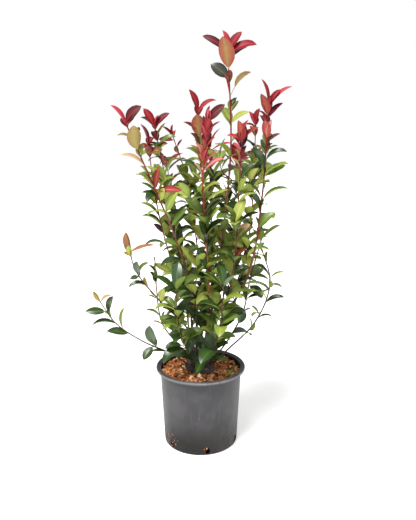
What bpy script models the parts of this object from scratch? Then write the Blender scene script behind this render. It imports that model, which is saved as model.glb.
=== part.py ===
"""A photinia in its nursery pot: a clump of upright stems from one root crown, green leaves up each stem
and a red flush of young leaves at the tips. Metres, +Z up, origin at the centre of the pot's underside."""

import math
import random

import bmesh
import bpy
import numpy as np
from mathutils.bvhtree import BVHTree

# Pot
POT_HEIGHT = 0.252
RIM_RADIUS = 0.140
RIM_DEPTH = 0.012
RIM_EDGE = 0.003
WALL_TOP_RADIUS = 0.1275
WALL_FOOT_RADIUS = 0.1155
WALL = 0.0025
FLOOR = 0.003
FOOT_ROUND = 0.005
POT_SEGMENTS = 32
DRAIN_HOLES = 6
DRAIN_BEARING = -80.0
DRAIN_WIDTH = 0.016
DRAIN_HEIGHT = 0.020
DRAIN_SILL = 0.005
DRAIN_SIDES = 10
DRAIN_BAR = 0.03

# Growing medium and root crown
SOIL_TOP = 0.229
SOIL_MOUND = 0.006
SOIL_GAP = 0.0004
SOIL_RINGS = (0.112, 0.098, 0.080, 0.064, 0.050)
CROWN_RADIUS = 0.043
CROWN_HEIGHT = 0.047
CROWN_SEGMENTS = 14
CROWN_STEPS = 6

# Where stems leave the crown: distance from its axis, and height above the soil
INNER_RING = (0.015, 0.036)
OUTER_RING = (0.033, 0.020)
STUB = 0.016
LIMB_PIECE = 0.032
LIMB_SIDES = 6
LIMB_FLAT = 0.88
GAP = 0.0003

# How a shoot grows. A leaf's hold is its lean from the direction of growth in degrees, its length, the
# bend of its midrib in radians and its roll, each from the least to the most. A twig is two pieces: the
# shares of its length that each goes along the stem and out from it.
GOLDEN_TURN = 137.5
TURN_STRAY = 18
INTERNODE = 0.030
OLD_HOLD = dict(lean=(32, 54), length=(0.076, 0.098), bend=(0.9, 1.7), roll=(-0.25, 0.25))
YOUNG_HOLD = dict(lean=(28, 50), length=(0.060, 0.084), bend=(0.5, 1.2), roll=(-0.30, 0.30))
ROSETTE_HOLD = dict(lean=(37, 55), length=(0.074, 0.096), bend=(0.3, 1.0), roll=(-0.25, 0.25))
LEAN_LOST = 8
LENGTH_LOST = 0.12
ROSETTE_CLOSING = 34
ROSETTE_SHORTENING = 0.30
ROSETTE_DEPTH = 0.018
GREEN_TIP = 0.030
TWIG_LENGTH = (0.06, 0.10)
TWIG_THICK = (0.0032, 0.0020)
TWIG_PIECES = [(0.28, 0.35), (0.50, 0.16)]
TWIG_ROSETTE = 3

# A leaf's shape: its width to its length, its thickness at the midrib, how far its edges fold up, its outline
# past its base as (share of the length, share of the half width), and where along the midrib it is thickest
LEAF_WIDTH = 0.43
LEAF_THICKNESS = 0.0012
LEAF_FOLD = 0.22
LEAF_EDGE = [(0.34, 1.0), (0.34, -1.0), (0.70, 0.78), (0.70, -0.78), (1.0, 0.0)]
LEAF_MIDDLE = 0.52
UPPER_FACES = [(2, 6, 0), (0, 6, 1), (1, 6, 3), (3, 6, 5), (2, 4, 6), (4, 5, 6)]
UNDER_FACES = [tuple(7 if corner == 6 else corner for corner in face[::-1]) for face in UPPER_FACES]
LEAF_FACES = UPPER_FACES + UNDER_FACES
CLEARANCE = 0.0010
OUTER_SHARE = 0.4

# Each stem: the bearing of its foot on the crown in degrees (0 is +X, 90 is +Y) and its ring, or the stem
# it forks from and how far up; the points that it passes through to its tip; its foot and tip diameter;
# the share of its length where leaves begin, and the share where its old leaves end and its newest growth
# begins (None just below the tip); how far apart its old leaves are, where not an internode; how many side
# twigs it bears and the seed of its growth. A tip that isn't set leaf by leaf grows a rosette of so many
# leaves, from a seed of its own.
STEMS = {
    "leader": dict(
        foot=(62, INNER_RING),
        through=[
            (0.030, 0.012, 0.395), (0.068, 0.030, 0.660),
            (0.090, 0.016, 0.920), (0.079, -0.005, 1.190),
        ],
        thick=(0.0095, 0.0036), leaves=0.12, flush=0.80, apart=0.040, twigs=2, seed=18,
    ),
    "centre": dict(
        foot=(278, INNER_RING),
        through=[
            (0.023, -0.040, 0.413), (0.020, -0.068, 0.620),
            (0.008, -0.080, 0.840), (0.020, -0.078, 1.000),
        ],
        thick=(0.0095, 0.0036), leaves=0.11, flush=0.80, apart=0.060, twigs=2, seed=50,
    ),
    "left": dict(
        foot=(206, INNER_RING),
        through=[
            (-0.014, -0.030, 0.430), (-0.057, -0.050, 0.626),
            (-0.130, -0.060, 0.815), (-0.207, -0.060, 0.998),
        ],
        thick=(0.0105, 0.0034), leaves=0.16, flush=0.83, apart=0.060, twigs=2, seed=9,
    ),
    "right": dict(
        foot=(350, INNER_RING),
        through=[
            (0.075, -0.025, 0.410), (0.147, -0.050, 0.577),
            (0.178, -0.050, 0.790), (0.190, -0.050, 1.040),
        ],
        thick=(0.0100, 0.0034), leaves=0.17, flush=0.84, apart=0.060, twigs=2, seed=51,
    ),
    "inner": dict(
        foot=(134, INNER_RING),
        through=[
            (0.024, 0.047, 0.470), (0.022, 0.060, 0.660),
            (0.000, 0.060, 0.900), (-0.006, 0.060, 1.030),
        ],
        thick=(0.0080, 0.0032), leaves=0.16, flush=0.86, twigs=2, seed=65,
    ),
    "left_second": dict(
        foot=(160, OUTER_RING),
        through=[
            (-0.050, 0.034, 0.460), (-0.100, 0.050, 0.610),
            (-0.135, 0.050, 0.770), (-0.154, 0.050, 0.935),
        ],
        thick=(0.0070, 0.0030), leaves=0.15, flush=0.90, apart=0.060, twigs=2, seed=18,
    ),
    "left_third": dict(
        foot=(140, OUTER_RING),
        through=[
            (-0.036, 0.062, 0.478), (-0.068, 0.085, 0.660),
            (-0.108, 0.090, 0.838), (-0.138, 0.090, 0.985),
        ],
        thick=(0.0070, 0.0030), leaves=0.16, flush=0.90, twigs=2, seed=43,
    ),
    "rear": dict(
        foot=(100, OUTER_RING),
        through=[
            (0.003, 0.085, 0.472), (-0.014, 0.115, 0.640),
            (-0.045, 0.140, 0.833), (-0.085, 0.140, 0.955),
        ],
        thick=(0.0068, 0.0028), leaves=0.14, flush=0.90, twigs=2, seed=35,
    ),
    "right_second": dict(
        foot=(325, OUTER_RING),
        through=[
            (0.062, -0.044, 0.390), (0.099, -0.060, 0.589),
            (0.110, -0.070, 0.810), (0.116, -0.070, 0.945),
        ],
        thick=(0.0072, 0.0030), leaves=0.15, flush=0.88, apart=0.060, twigs=2, seed=80,
    ),
    "right_third": dict(
        foot=(44, OUTER_RING),
        through=[
            (0.079, 0.070, 0.408), (0.140, 0.098, 0.560),
            (0.166, 0.110, 0.773), (0.170, 0.110, 0.990),
        ],
        thick=(0.0070, 0.0028), leaves=0.18, flush=0.93, twigs=2, seed=48,
    ),
    "outer_right": dict(
        foot=(0, OUTER_RING),
        through=[
            (0.086, 0.000, 0.302), (0.165, 0.010, 0.380),
            (0.214, 0.010, 0.517), (0.180, 0.010, 0.640),
        ],
        thick=(0.0064, 0.0036), leaves=0.22, flush=0.23, twigs=0, seed=1,
    ),
    "low_right": dict(
        foot=(22, OUTER_RING),
        through=[
            (0.094, 0.050, 0.323), (0.134, 0.080, 0.387),
            (0.160, 0.100, 0.500), (0.198, 0.110, 0.640),
        ],
        thick=(0.0064, 0.0036), leaves=0.18, flush=None, rosette=4, apart=0.060, twigs=1, seed=298, tip_seed=134,
    ),
    "outer_left": dict(
        fork=("left", 0.10),
        through=[
            (-0.053, -0.060, 0.410), (-0.125, -0.090, 0.497),
            (-0.190, -0.108, 0.600), (-0.200, -0.110, 0.650),
        ],
        thick=(0.0062, 0.0036), leaves=0.06, flush=0.07, twigs=0, seed=1,
    ),
    "low_left": dict(
        foot=(200, OUTER_RING),
        through=[
            (-0.081, -0.004, 0.283), (-0.183, 0.000, 0.331),
            (-0.265, 0.000, 0.392), (-0.310, 0.000, 0.462),
        ],
        thick=(0.0064, 0.0036), leaves=0.22, flush=0.23, twigs=0, seed=1,
    ),
    "low_rear_left": dict(
        foot=(180, OUTER_RING),
        through=[
            (-0.072, 0.036, 0.301), (-0.122, 0.075, 0.358),
            (-0.141, 0.090, 0.470), (-0.145, 0.092, 0.580),
        ],
        thick=(0.0062, 0.0036), leaves=0.24, flush=0.25, twigs=0, seed=1,
    ),
    "back_left": dict(
        foot=(120, OUTER_RING),
        through=[(-0.036, 0.102, 0.420), (-0.085, 0.160, 0.640), (-0.105, 0.182, 0.860)],
        thick=(0.0068, 0.0028), leaves=0.15, flush=0.88, rosette=5, twigs=1, seed=80, tip_seed=3,
    ),
    "back": dict(
        foot=(82, OUTER_RING),
        through=[(0.032, 0.112, 0.420), (0.038, 0.172, 0.640), (0.030, 0.190, 0.920)],
        thick=(0.0068, 0.0028), leaves=0.15, flush=0.88, rosette=5, twigs=1, seed=55, tip_seed=56,
    ),
    "back_right": dict(
        foot=(63, OUTER_RING),
        through=[(0.080, 0.122, 0.460), (0.108, 0.162, 0.660), (0.115, 0.178, 0.870)],
        thick=(0.0068, 0.0028), leaves=0.17, flush=0.88, rosette=5, twigs=2, seed=12, tip_seed=10,
    ),
    "front_left": dict(
        foot=(236, OUTER_RING),
        through=[(-0.048, -0.078, 0.350), (-0.066, -0.108, 0.440), (-0.070, -0.118, 0.540)],
        thick=(0.0054, 0.0026), leaves=0.16, flush=None, rosette=3, twigs=0, seed=80, tip_seed=300,
    ),
    "front_right": dict(
        foot=(298, OUTER_RING),
        through=[(0.042, -0.084, 0.350), (0.060, -0.112, 0.440), (0.066, -0.120, 0.550)],
        thick=(0.0054, 0.0026), leaves=0.16, flush=None, rosette=3, twigs=1, seed=44, tip_seed=211,
    ),
    "foot_sprig": dict(
        foot=(266, OUTER_RING),
        through=[(0.002, -0.060, 0.290), (0.012, -0.082, 0.300)],
        thick=(0.0036, 0.0024), leaves=0.0, flush=None, rosette=4, twigs=0, seed=17, tip_seed=120,
    ),
}

# Leaves that are set one by one, at the tips and wherever else single leaves stand out: how far down the stem
# from its tip each one springs; the clock angle of its line from straight up, to the right as seen from the
# front; how far that line leans to the front; how far its upper face turns to the front; its length; its bend.
SET_LEAVES = {
    "leader": [
        (0.003, -60, -12, 55, 0.090, 1.2), (0.003, -18, -8, 15, 0.062, 0.5), (0.003, 38, -4, 45, 0.068, 0.8),
        (0.006, 82, -6, 45, 0.090, 1.4), (0.052, -14, 30, 0, 0.100, 0.4), (0.026, 58, -15, 12, 0.068, 0.6),
        (0.072, -55, -10, 60, 0.066, 0.6), (0.146, -14, 12, 35, 0.092, 0.3), (0.124, 44, 0, 20, 0.094, 0.9),
        (0.153, 33, 0, 40, 0.034, 0.4), (0.200, 60, 15, 35, 0.068, 1.2), (0.215, -32, 20, 40, 0.046, 0.8),
        (0.018, 20, -60, 0, 0.062, 0.6), (0.090, -15, -58, 0, 0.066, 0.8), (0.170, 35, -55, 0, 0.064, 1.0),
        (0.415, -20, 22, 20, 0.058, 0.4),
    ],
    "centre": [
        (0.003, 48, 0, 60, 0.070, 0.8), (0.003, 12, 0, 40, 0.046, 0.3), (0.008, 2, 15, 30, 0.044, 0.4),
        (0.048, 8, 22, 0, 0.062, 0.4), (0.036, 52, 10, 25, 0.054, 0.5), (0.046, -27, 20, 20, 0.056, 0.5),
        (0.115, -25, 5, 45, 0.064, 0.6), (0.112, 15, 25, 20, 0.044, 0.4), (0.108, 30, 5, 40, 0.050, 0.4),
        (0.128, 42, 10, 20, 0.066, 0.6), (0.138, 62, 15, 30, 0.074, 1.0), (0.158, -35, 10, 25, 0.054, 0.6),
        (0.088, -8, 32, 10, 0.050, 0.5), (0.082, 38, 15, 30, 0.052, 0.5), (0.098, -52, 5, 40, 0.052, 0.6),
        (0.020, -10, -60, 0, 0.056, 0.6), (0.070, 20, -55, 0, 0.060, 0.8), (0.125, -20, -58, 0, 0.062, 1.0),
        (0.172, -50, 5, 20, 0.050, 1.0), (0.234, -41, 10, 20, 0.066, 0.8), (0.259, -52, 15, 50, 0.079, 0.6),
        (0.196, 76, 10, 7, 0.060, 1.3), (0.229, 62, 15, 17, 0.087, 0.6), (0.270, 47, 10, 24, 0.082, 0.7),
        (0.299, 34, 20, 45, 0.085, 0.6), (0.325, 49, 10, 17, 0.078, 0.8), (0.307, -58, 5, 10, 0.077, 1.3),
        (0.353, -21, 20, 58, 0.091, 0.5), (0.386, 22, 20, 52, 0.079, 0.5), (0.429, -25, 20, 55, 0.081, 0.5),
        (0.475, 8, 0, 12, 0.073, 0.5), (0.494, -131, 25, 55, 0.057, 0.5), (0.516, 88, 10, 12, 0.044, 1.5),
        (0.468, 91, 10, 24, 0.058, 0.9), (0.594, 86, 15, 22, 0.048, 1.0), (0.585, -71, 10, 45, 0.053, 0.8),
    ],
    "left": [
        (0.008, -42, 0, 18, 0.068, 0.4), (0.005, 47, 5, 60, 0.070, 1.2), (0.006, 45, 20, 20, 0.044, 0.5),
        (0.010, 50, 25, 40, 0.036, 0.4), (0.086, -6, 22, 0, 0.076, 0.4), (0.050, -85, 5, 20, 0.046, 1.0),
        (0.130, -68, 5, 25, 0.074, 0.9), (0.020, -20, -60, 0, 0.060, 0.6), (0.060, 30, -55, 0, 0.060, 0.8),
        (0.110, 10, -58, 0, 0.064, 1.0), (0.159, -42, 10, 45, 0.036, 0.5), (0.174, -55, 0, 12, 0.030, 0.6),
        (0.203, -59, 5, 12, 0.051, 1.2), (0.216, -63, 0, 20, 0.058, 0.8), (0.243, -69, 5, 22, 0.065, 1.1),
        (0.205, 13, 15, 62, 0.074, 0.4), (0.205, 91, 10, 45, 0.079, 0.5), (0.240, 21, 20, 58, 0.046, 0.4),
        (0.276, 35, 15, 55, 0.079, 0.6), (0.311, -24, 15, 50, 0.049, 0.6), (0.320, 43, 10, 48, 0.079, 0.6),
        (0.359, 10, 15, 22, 0.055, 0.5), (0.401, -2, -25, 20, 0.072, 0.8), (0.505, -85, 5, 12, 0.099, 1.5),
        (0.470, -60, 15, 45, 0.061, 0.6), (0.524, -71, 15, 50, 0.078, 0.8), (0.464, 13, 10, 17, 0.054, 0.4),
        (0.382, -68, 10, 45, 0.053, 0.8), (0.415, 58, 10, 45, 0.064, 0.8), (0.618, -49, 10, 45, 0.068, 0.8),
    ],
    "right": [
        (0.003, -18, 5, 30, 0.080, 0.5), (0.003, 38, 0, 35, 0.060, 0.6), (0.004, 54, 5, 28, 0.088, 0.7),
        (0.028, -22, 22, 0, 0.070, 0.4), (0.026, 3, 20, 10, 0.056, 0.4), (0.034, 46, 0, 40, 0.062, 0.6),
        (0.036, -50, -5, 30, 0.036, 0.6), (0.092, -8, 15, 0, 0.058, 0.3), (0.088, 14, 15, 0, 0.056, 0.3),
        (0.095, 6, -5, 30, 0.038, 0.3), (0.100, 60, 0, 40, 0.048, 0.8), (0.120, 45, 0, 30, 0.028, 0.4),
        (0.015, 0, -60, 0, 0.058, 0.6), (0.060, -25, -55, 0, 0.060, 0.8), (0.110, 20, -55, 0, 0.060, 0.9),
        (0.128, -59, 10, 12, 0.041, 0.6), (0.128, 65, 5, 12, 0.042, 1.0), (0.171, -40, 10, 55, 0.075, 1.0),
        (0.150, 72, 5, 18, 0.071, 1.3), (0.195, 63, 5, 48, 0.072, 1.1), (0.193, -16, -5, 17, 0.044, 0.5),
        (0.237, -35, 15, 22, 0.060, 1.6), (0.263, 72, 5, 8, 0.088, 1.1), (0.304, 16, 5, 45, 0.049, 0.5),
        (0.292, -37, 10, 48, 0.076, 0.8), (0.296, -114, 10, 22, 0.063, 0.6), (0.346, 50, 5, 46, 0.074, 1.2),
        (0.378, 23, 10, 45, 0.036, 0.4),
    ],
    "inner": [
        (0.003, -24, 5, 55, 0.070, 0.6), (0.006, 64, 0, 40, 0.070, 1.3), (0.080, -5, 20, 0, 0.074, 0.4),
        (0.098, -42, 15, 50, 0.046, 0.9), (0.060, -62, -5, 30, 0.054, 0.5), (0.020, 10, -60, 0, 0.058, 0.6),
        (0.060, 40, -50, 0, 0.060, 0.8), (0.110, -15, -55, 0, 0.062, 1.0),
    ],
    "left_second": [
        (0.003, -24, 0, 18, 0.064, 0.5), (0.003, -125, 15, 60, 0.046, 2.0), (0.038, -20, 35, 20, 0.046, 0.6),
        (0.020, 15, 40, 30, 0.034, 0.5), (0.030, 25, 40, 20, 0.038, 0.5), (0.032, 80, 10, 50, 0.044, 2.0),
        (0.010, 20, -60, 0, 0.054, 0.6), (0.045, -10, -58, 0, 0.056, 0.8), (0.224, -56, 5, 14, 0.077, 1.0),
        (0.248, -67, 5, 18, 0.069, 1.1), (0.275, -46, 10, 50, 0.044, 0.4),
    ],
    "left_third": [
        (0.003, -33, 0, 50, 0.064, 0.6), (0.004, 25, 10, 30, 0.040, 0.5), (0.004, 52, 0, 45, 0.064, 0.7),
        (0.006, -56, -5, 15, 0.054, 0.6), (0.035, 35, 0, 12, 0.052, 0.4), (0.070, 70, 10, 50, 0.040, 2.0),
        (0.015, 10, -60, 0, 0.056, 0.6), (0.050, -30, -55, 0, 0.056, 0.8),
    ],
    "rear": [
        (0.003, 2, 5, 40, 0.038, 0.3), (0.003, -50, 0, 30, 0.046, 0.5), (0.016, -88, 0, 45, 0.050, 0.5),
        (0.040, 35, 0, 30, 0.032, 0.4), (0.010, 5, -60, 0, 0.044, 0.6), (0.060, -30, -50, 20, 0.040, 0.6),
    ],
    "right_second": [
        (0.003, -12, 15, 0, 0.064, 0.4), (0.003, 18, 10, 25, 0.066, 0.4), (0.003, 6, -10, 35, 0.056, 0.4),
        (0.008, -68, 15, 22, 0.056, 1.6), (0.025, -35, 10, 22, 0.060, 0.5), (0.004, 52, 10, 28, 0.066, 0.8),
        (0.048, 25, -10, 30, 0.042, 0.5), (0.024, 20, -15, 18, 0.056, 0.3), (0.072, -48, 10, 30, 0.038, 0.6),
        (0.010, 0, -60, 0, 0.056, 0.6), (0.055, -25, -55, 0, 0.058, 0.8), (0.300, 18, 15, 50, 0.063, 0.5),
        (0.379, 73, 10, 48, 0.054, 0.9), (0.347, -41, 15, 50, 0.045, 0.6), (0.257, 60, 10, 50, 0.047, 0.6),
        (0.335, 52, -10, 22, 0.042, 0.5), (0.107, 49, 10, 48, 0.070, 0.8), (0.158, 23, 15, 55, 0.073, 0.6),
        (0.183, -17, 15, 45, 0.057, 0.5), (0.187, 48, 20, 50, 0.034, 0.4),
    ],
    "right_third": [
        (0.004, -28, 0, 50, 0.048, 0.5), (0.004, 16, 0, 45, 0.054, 0.8), (0.006, -85, -5, 30, 0.034, 0.5),
        (0.008, 10, -60, 0, 0.046, 0.6), (0.040, -20, -50, 0, 0.050, 0.8),
    ],
    "low_left": [
        (0.006, 59, 10, 22, 0.046, 0.9), (0.007, -29, 5, 12, 0.044, 0.4), (0.041, -88, 5, 50, 0.066, 0.4),
        (0.044, 23, 15, 55, 0.066, 0.4), (0.057, -51, 20, 12, 0.034, 0.4), (0.071, -2, 0, 15, 0.063, 0.5),
        (0.089, -101, 5, 12, 0.081, 1.2), (0.118, 8, 5, 22, 0.078, 0.8), (0.140, -80, 15, 60, 0.073, 0.5),
        (0.224, -144, 25, 65, 0.053, 0.5), (0.236, -9, 15, 60, 0.091, 0.6), (0.276, -82, 15, 45, 0.057, 0.5),
    ],
    "outer_left": [
        (0.011, 75, 5, 22, 0.077, 0.5), (0.016, -9, 5, 22, 0.066, 0.4), (0.024, -62, 10, 22, 0.026, 0.5),
        (0.028, -10, 15, 20, 0.042, 0.4), (0.085, 46, 0, 20, 0.055, 1.5), (0.087, -102, 20, 50, 0.028, 0.4),
        (0.088, -1, 20, 60, 0.055, 0.5), (0.125, -98, 5, 4, 0.057, 1.5), (0.133, -12, 15, 50, 0.042, 0.5),
        (0.168, -31, 15, 20, 0.038, 0.4), (0.186, 20, 20, 55, 0.050, 0.4), (0.231, -54, 15, 22, 0.045, 0.8),
        (0.295, -74, 15, 50, 0.065, 0.6), (0.326, -100, 15, 50, 0.065, 0.6),
    ],
    "low_rear_left": [
        (0.015, 2, 5, 12, 0.016, 0.3), (0.044, 8, 20, 50, 0.028, 0.4), (0.087, 6, 20, 45, 0.053, 0.6),
        (0.090, -26, 15, 45, 0.051, 0.8), (0.091, -26, 5, 18, 0.074, 1.2), (0.143, -62, 20, 22, 0.041, 0.6),
        (0.163, 56, 10, 22, 0.041, 0.8), (0.198, -70, 0, 4, 0.054, 1.0), (0.219, 18, 10, 45, 0.044, 0.5),
        (0.228, -77, 5, 4, 0.041, 0.8),
    ],
    "outer_right": [
        (0.039, -38, 10, 17, 0.046, 0.5), (0.065, 4, 15, 55, 0.040, 0.4), (0.111, -54, 5, 10, 0.062, 0.8),
        (0.115, 70, 5, 8, 0.051, 0.8), (0.122, -78, 10, 14, 0.065, 0.7), (0.136, 109, 5, 18, 0.041, 0.9),
        (0.147, 0, 30, 45, 0.034, 0.4), (0.154, -150, -45, 20, 0.049, 0.8), (0.185, -35, 5, 7, 0.030, 0.4),
        (0.197, 79, 5, 20, 0.065, 1.0), (0.233, -138, -40, 20, 0.047, 0.8), (0.241, -42, 5, 15, 0.045, 0.6),
        (0.252, 92, 5, 7, 0.052, 1.3), (0.286, -13, 0, 15, 0.030, 0.4), (0.300, 34, 20, 45, 0.036, 0.4),
        (0.329, 49, 30, 50, 0.032, 0.4),
    ],
    "low_right": [
        (0.163, 138, 10, 55, 0.064, 1.2), (0.209, 76, 10, 22, 0.053, 0.6), (0.238, -156, 20, 55, 0.055, 0.5),
        (0.275, -47, 15, 50, 0.044, 0.5), (0.252, 62, 20, 45, 0.030, 0.5), (0.095, 106, 5, 10, 0.037, 0.8),
    ],
}

# Growth: paths, and the leaves and side twigs that a stem bears


def smooth_curve(knots, count):
    """Points on one smooth curve through the knots: cubic pieces over the chord lengths, whose slope at each
    knot comes from its neighbours."""
    chord = np.concatenate([[0], np.cumsum(np.linalg.norm(np.diff(knots, axis=0), axis=1))])
    slope = np.gradient(knots, chord, axis=0)
    t = np.linspace(0, chord[-1], count)
    i = np.clip(np.searchsorted(chord, t, side="right") - 1, 0, len(knots) - 2)
    h = (chord[i + 1] - chord[i])[:, None]
    u = (t - chord[i])[:, None] / h
    start = (1 + 2 * u) * (1 - u) ** 2 * knots[i] + u * (1 - u) ** 2 * h * slope[i]
    return start + u * u * (3 - 2 * u) * knots[i + 1] + u * u * (u - 1) * h * slope[i + 1]


def unit(vector):
    return vector / math.sqrt(vector @ vector)


def cross(a, b):
    return np.array([a[1] * b[2] - a[2] * b[1], a[2] * b[0] - a[0] * b[2], a[0] * b[1] - a[1] * b[0]])


class Path:
    """A limb's centreline, as short straight pieces along a smooth curve. It is read by the distance from its
    foot, and its radius tapers evenly."""

    def __init__(self, points, thick):
        through = np.array(points, float)
        rough = np.linalg.norm(np.diff(through, axis=0), axis=1).sum()
        self.line = smooth_curve(through, max(3, round(rough / LIMB_PIECE) + 1))
        pieces = np.linalg.norm(np.diff(self.line, axis=0), axis=1)
        self.knots = np.concatenate([[0], np.cumsum(pieces)])
        self.length = float(self.knots[-1])
        self.thick = thick
        run = unit(self.line[-1] - self.line[0])
        self.guide = np.array([0.0, 1.0, 0.0] if abs(run[1]) < 0.8 else [1.0, 0.0, 0.0])

    def point(self, s):
        return np.array([np.interp(s, self.knots, self.line[:, k]) for k in range(3)])

    def frame(self, s):
        """The direction of growth at s, and two directions square to it."""
        step = 0.012
        before = self.point(max(s - step, 0))
        tangent = unit(self.point(min(s + step, self.length)) - before)
        first = unit(cross(tangent, self.guide))
        return tangent, first, cross(tangent, first)

    def radius(self, s):
        share = s / self.length
        return ((1 - share) * self.thick[0] + share * self.thick[1]) / 2


class Leaf:
    """One leaf: where it springs from, the way it points, the side its upper face looks to, and its size.
    Its midrib is an arc that bends away from that side by `bend` radians over the leaf's length."""

    def __init__(self, base, along, up, length, bend):
        self.base = base
        self.along = unit(along)
        self.side = unit(cross(up, self.along))
        self.up = cross(self.along, self.side)
        self.length = length
        self.bend = bend

    def at(self, share, aside, lift):
        """The point this share of the way along, this far to the side and above the midrib's arc."""
        turn = self.bend * share
        reach = self.length / self.bend
        spine = reach * (math.sin(turn) * self.along - (1 - math.cos(turn)) * self.up)
        above = math.sin(turn) * self.along + math.cos(turn) * self.up
        return self.base + spine + aside * self.side + lift * above

    def points(self, grow=0.0, start=0.0):
        """The leaf's eight corners from `start` metres along it, wider and thicker by `grow`."""
        corners = [self.at(start / self.length, 0, 0)]
        for share, aside in LEAF_EDGE:
            out = aside * (LEAF_WIDTH * self.length / 2 + grow)
            corners.append(self.at(share, out, LEAF_FOLD * abs(out)))
        half = LEAF_THICKNESS / 2 + grow
        return corners + [self.at(LEAF_MIDDLE, 0, half), self.at(LEAF_MIDDLE, 0, -half)]


def leaf_on(path, s, bearing, hold, rng, upright=0, smaller=0):
    """A leaf at s up a path, at a bearing in degrees round it, held as the hold says, but `upright` degrees
    nearer to the direction of growth and shorter by the share `smaller`."""
    tangent, first, second = path.frame(s)
    turn = math.radians(bearing)
    lean = math.radians(rng.uniform(*hold["lean"]) - upright)
    length = rng.uniform(*hold["length"]) * (1 - smaller)
    bend = rng.uniform(*hold["bend"])
    out = math.cos(turn) * first + math.sin(turn) * second
    along = math.cos(lean) * tangent + math.sin(lean) * out
    level = 1 - abs(tangent[2])
    up = (1 - level) * tangent + np.array([0, 0, level + 0.25])
    up = up + rng.uniform(*hold["roll"]) * cross(along, up)
    return Leaf(path.point(s), along, up, length, bend)


def set_leaves(path, rows):
    """The leaves of a stem that are set one by one. A leaf's line is the chord of its midrib's arc, and its
    upper face looks back to the stem before it is turned to the front."""
    for down, clock, front, face, length, bend in rows:
        s = path.length - down
        clock, front, face = (math.radians(angle) for angle in (clock, front, face))
        line = math.cos(front) * np.array([math.sin(clock), -math.tan(front), math.cos(clock)])
        tangent = path.frame(s)[0]
        up = unit(tangent - (tangent @ line) * line)
        side = cross(up, line)
        up = math.cos(face) * up + math.sin(face) * math.copysign(1, -side[1]) * side
        along = math.cos(bend / 2) * line + math.sin(bend / 2) * up
        yield Leaf(path.point(s), along, up, length, bend)


def old_leaves(path, start, stop, rng, apart=INTERNODE):
    """The green leaves up a path: about so far apart, each a golden turn round from the last. Lower ones are
    longer and stand out further."""
    bearing = rng.uniform(0, 360)
    s = start + apart * rng.uniform(0.2, 0.8)
    while s < stop:
        share = s / path.length
        bearing += GOLDEN_TURN + rng.uniform(-TURN_STRAY, TURN_STRAY)
        yield leaf_on(path, s, bearing, OLD_HOLD, rng, LEAN_LOST * share, LENGTH_LOST * share)
        s += apart * rng.uniform(0.80, 1.25)


def young_leaves(path, start, rosette, rng):
    """The leaves of the latest growth: a few up to the tip, then a rosette round it that closes upwards."""
    bearing = rng.uniform(0, 360)
    s = start + 0.3 * INTERNODE
    while s < path.length - 1.4 * ROSETTE_DEPTH:
        bearing += GOLDEN_TURN + rng.uniform(-TURN_STRAY, TURN_STRAY)
        yield leaf_on(path, s, bearing, YOUNG_HOLD, rng)
        s += 0.85 * INTERNODE * rng.uniform(0.80, 1.25)
    for k in range(rosette):
        share = k / rosette
        s = path.length - ROSETTE_DEPTH * (1 - share)
        bearing += GOLDEN_TURN + rng.uniform(-TURN_STRAY, TURN_STRAY)
        closed, smaller = ROSETTE_CLOSING * share, ROSETTE_SHORTENING * share**2
        yield leaf_on(path, s, bearing, ROSETTE_HOLD, rng, closed, smaller)


def side_twigs(path, start, stop, count, rng):
    """Paths of the side twigs: each leaves the stem, leans out and then turns up beside it."""
    for k in range(count):
        s = start + (stop - start) * (k + rng.uniform(0.3, 0.7)) / count
        tangent, first, second = path.frame(s)
        turn = rng.uniform(0, math.tau)
        out = math.cos(turn) * first + math.sin(turn) * second
        length = rng.uniform(*TWIG_LENGTH)
        points = [path.point(s)]
        for up, aside in TWIG_PIECES:
            points.append(points[-1] + length * (up * tangent + aside * out))
        yield Path(points, TWIG_THICK)


def growth_of(name):
    """All that one stem bears, in the order in which it takes its place: (the limb, its leaves) for the set
    leaves and the young growth at the tip, the stem's old leaves and each side twig."""
    stem = STEMS[name]
    path = stem_path(name)
    start = stem["leaves"] * path.length
    last = path.length - GREEN_TIP
    if stem["flush"]:
        last = stem["flush"] * path.length
    tip = list(set_leaves(path, SET_LEAVES.get(name, [])))
    if "rosette" in stem:
        tip += young_leaves(path, last, stem["rosette"], random.Random(stem["tip_seed"]))
    rng = random.Random(stem["seed"])
    old = list(old_leaves(path, start, last, rng, stem.get("apart", INTERNODE)))
    parts = [(path, tip), (path, old)]
    for twig in side_twigs(path, start + INTERNODE, last - INTERNODE, stem["twigs"], rng):
        leaves = list(old_leaves(twig, 0.2 * twig.length, 0.75 * twig.length, rng))
        leaves += list(young_leaves(twig, 0.8 * twig.length, TWIG_ROSETTE, rng))
        parts.append((twig, leaves))
    return parts


def stem_path(name):
    """The centreline of a stem, from inside the crown or from beside the limb that it forks from."""
    stem = STEMS[name]
    through = [np.array(p) for p in stem["through"]]
    if "fork" in stem:
        host_name, share = stem["fork"]
        host = stem_path(host_name)
        s = share * host.length
        towards = unit(through[0] - host.point(s))
        lean = math.acos(towards @ host.frame(s)[0])
        clear = LIMB_FLAT * host.radius(s) + GAP + stem["thick"][0] / 2 * math.cos(lean)
        return Path([host.point(s) + towards * clear / math.sin(lean), *through], stem["thick"])
    bearing, (out, height) = stem["foot"]
    turn = math.radians(bearing)
    foot = np.array([out * math.cos(turn), out * math.sin(turn), SOIL_TOP + height])
    return Path([foot, *through], stem["thick"])


# Finishes, objects and joins


def principled(name, colour, roughness):
    """A plain finish: one Principled BSDF with this colour and roughness."""
    material = bpy.data.materials.new(name)
    material.use_nodes = True
    shader = material.node_tree.nodes["Principled BSDF"]
    shader.inputs["Base Color"].default_value = (*colour, 1.0)
    shader.inputs["Roughness"].default_value = roughness
    shader.inputs["Metallic"].default_value = 0.0
    return material


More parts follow.
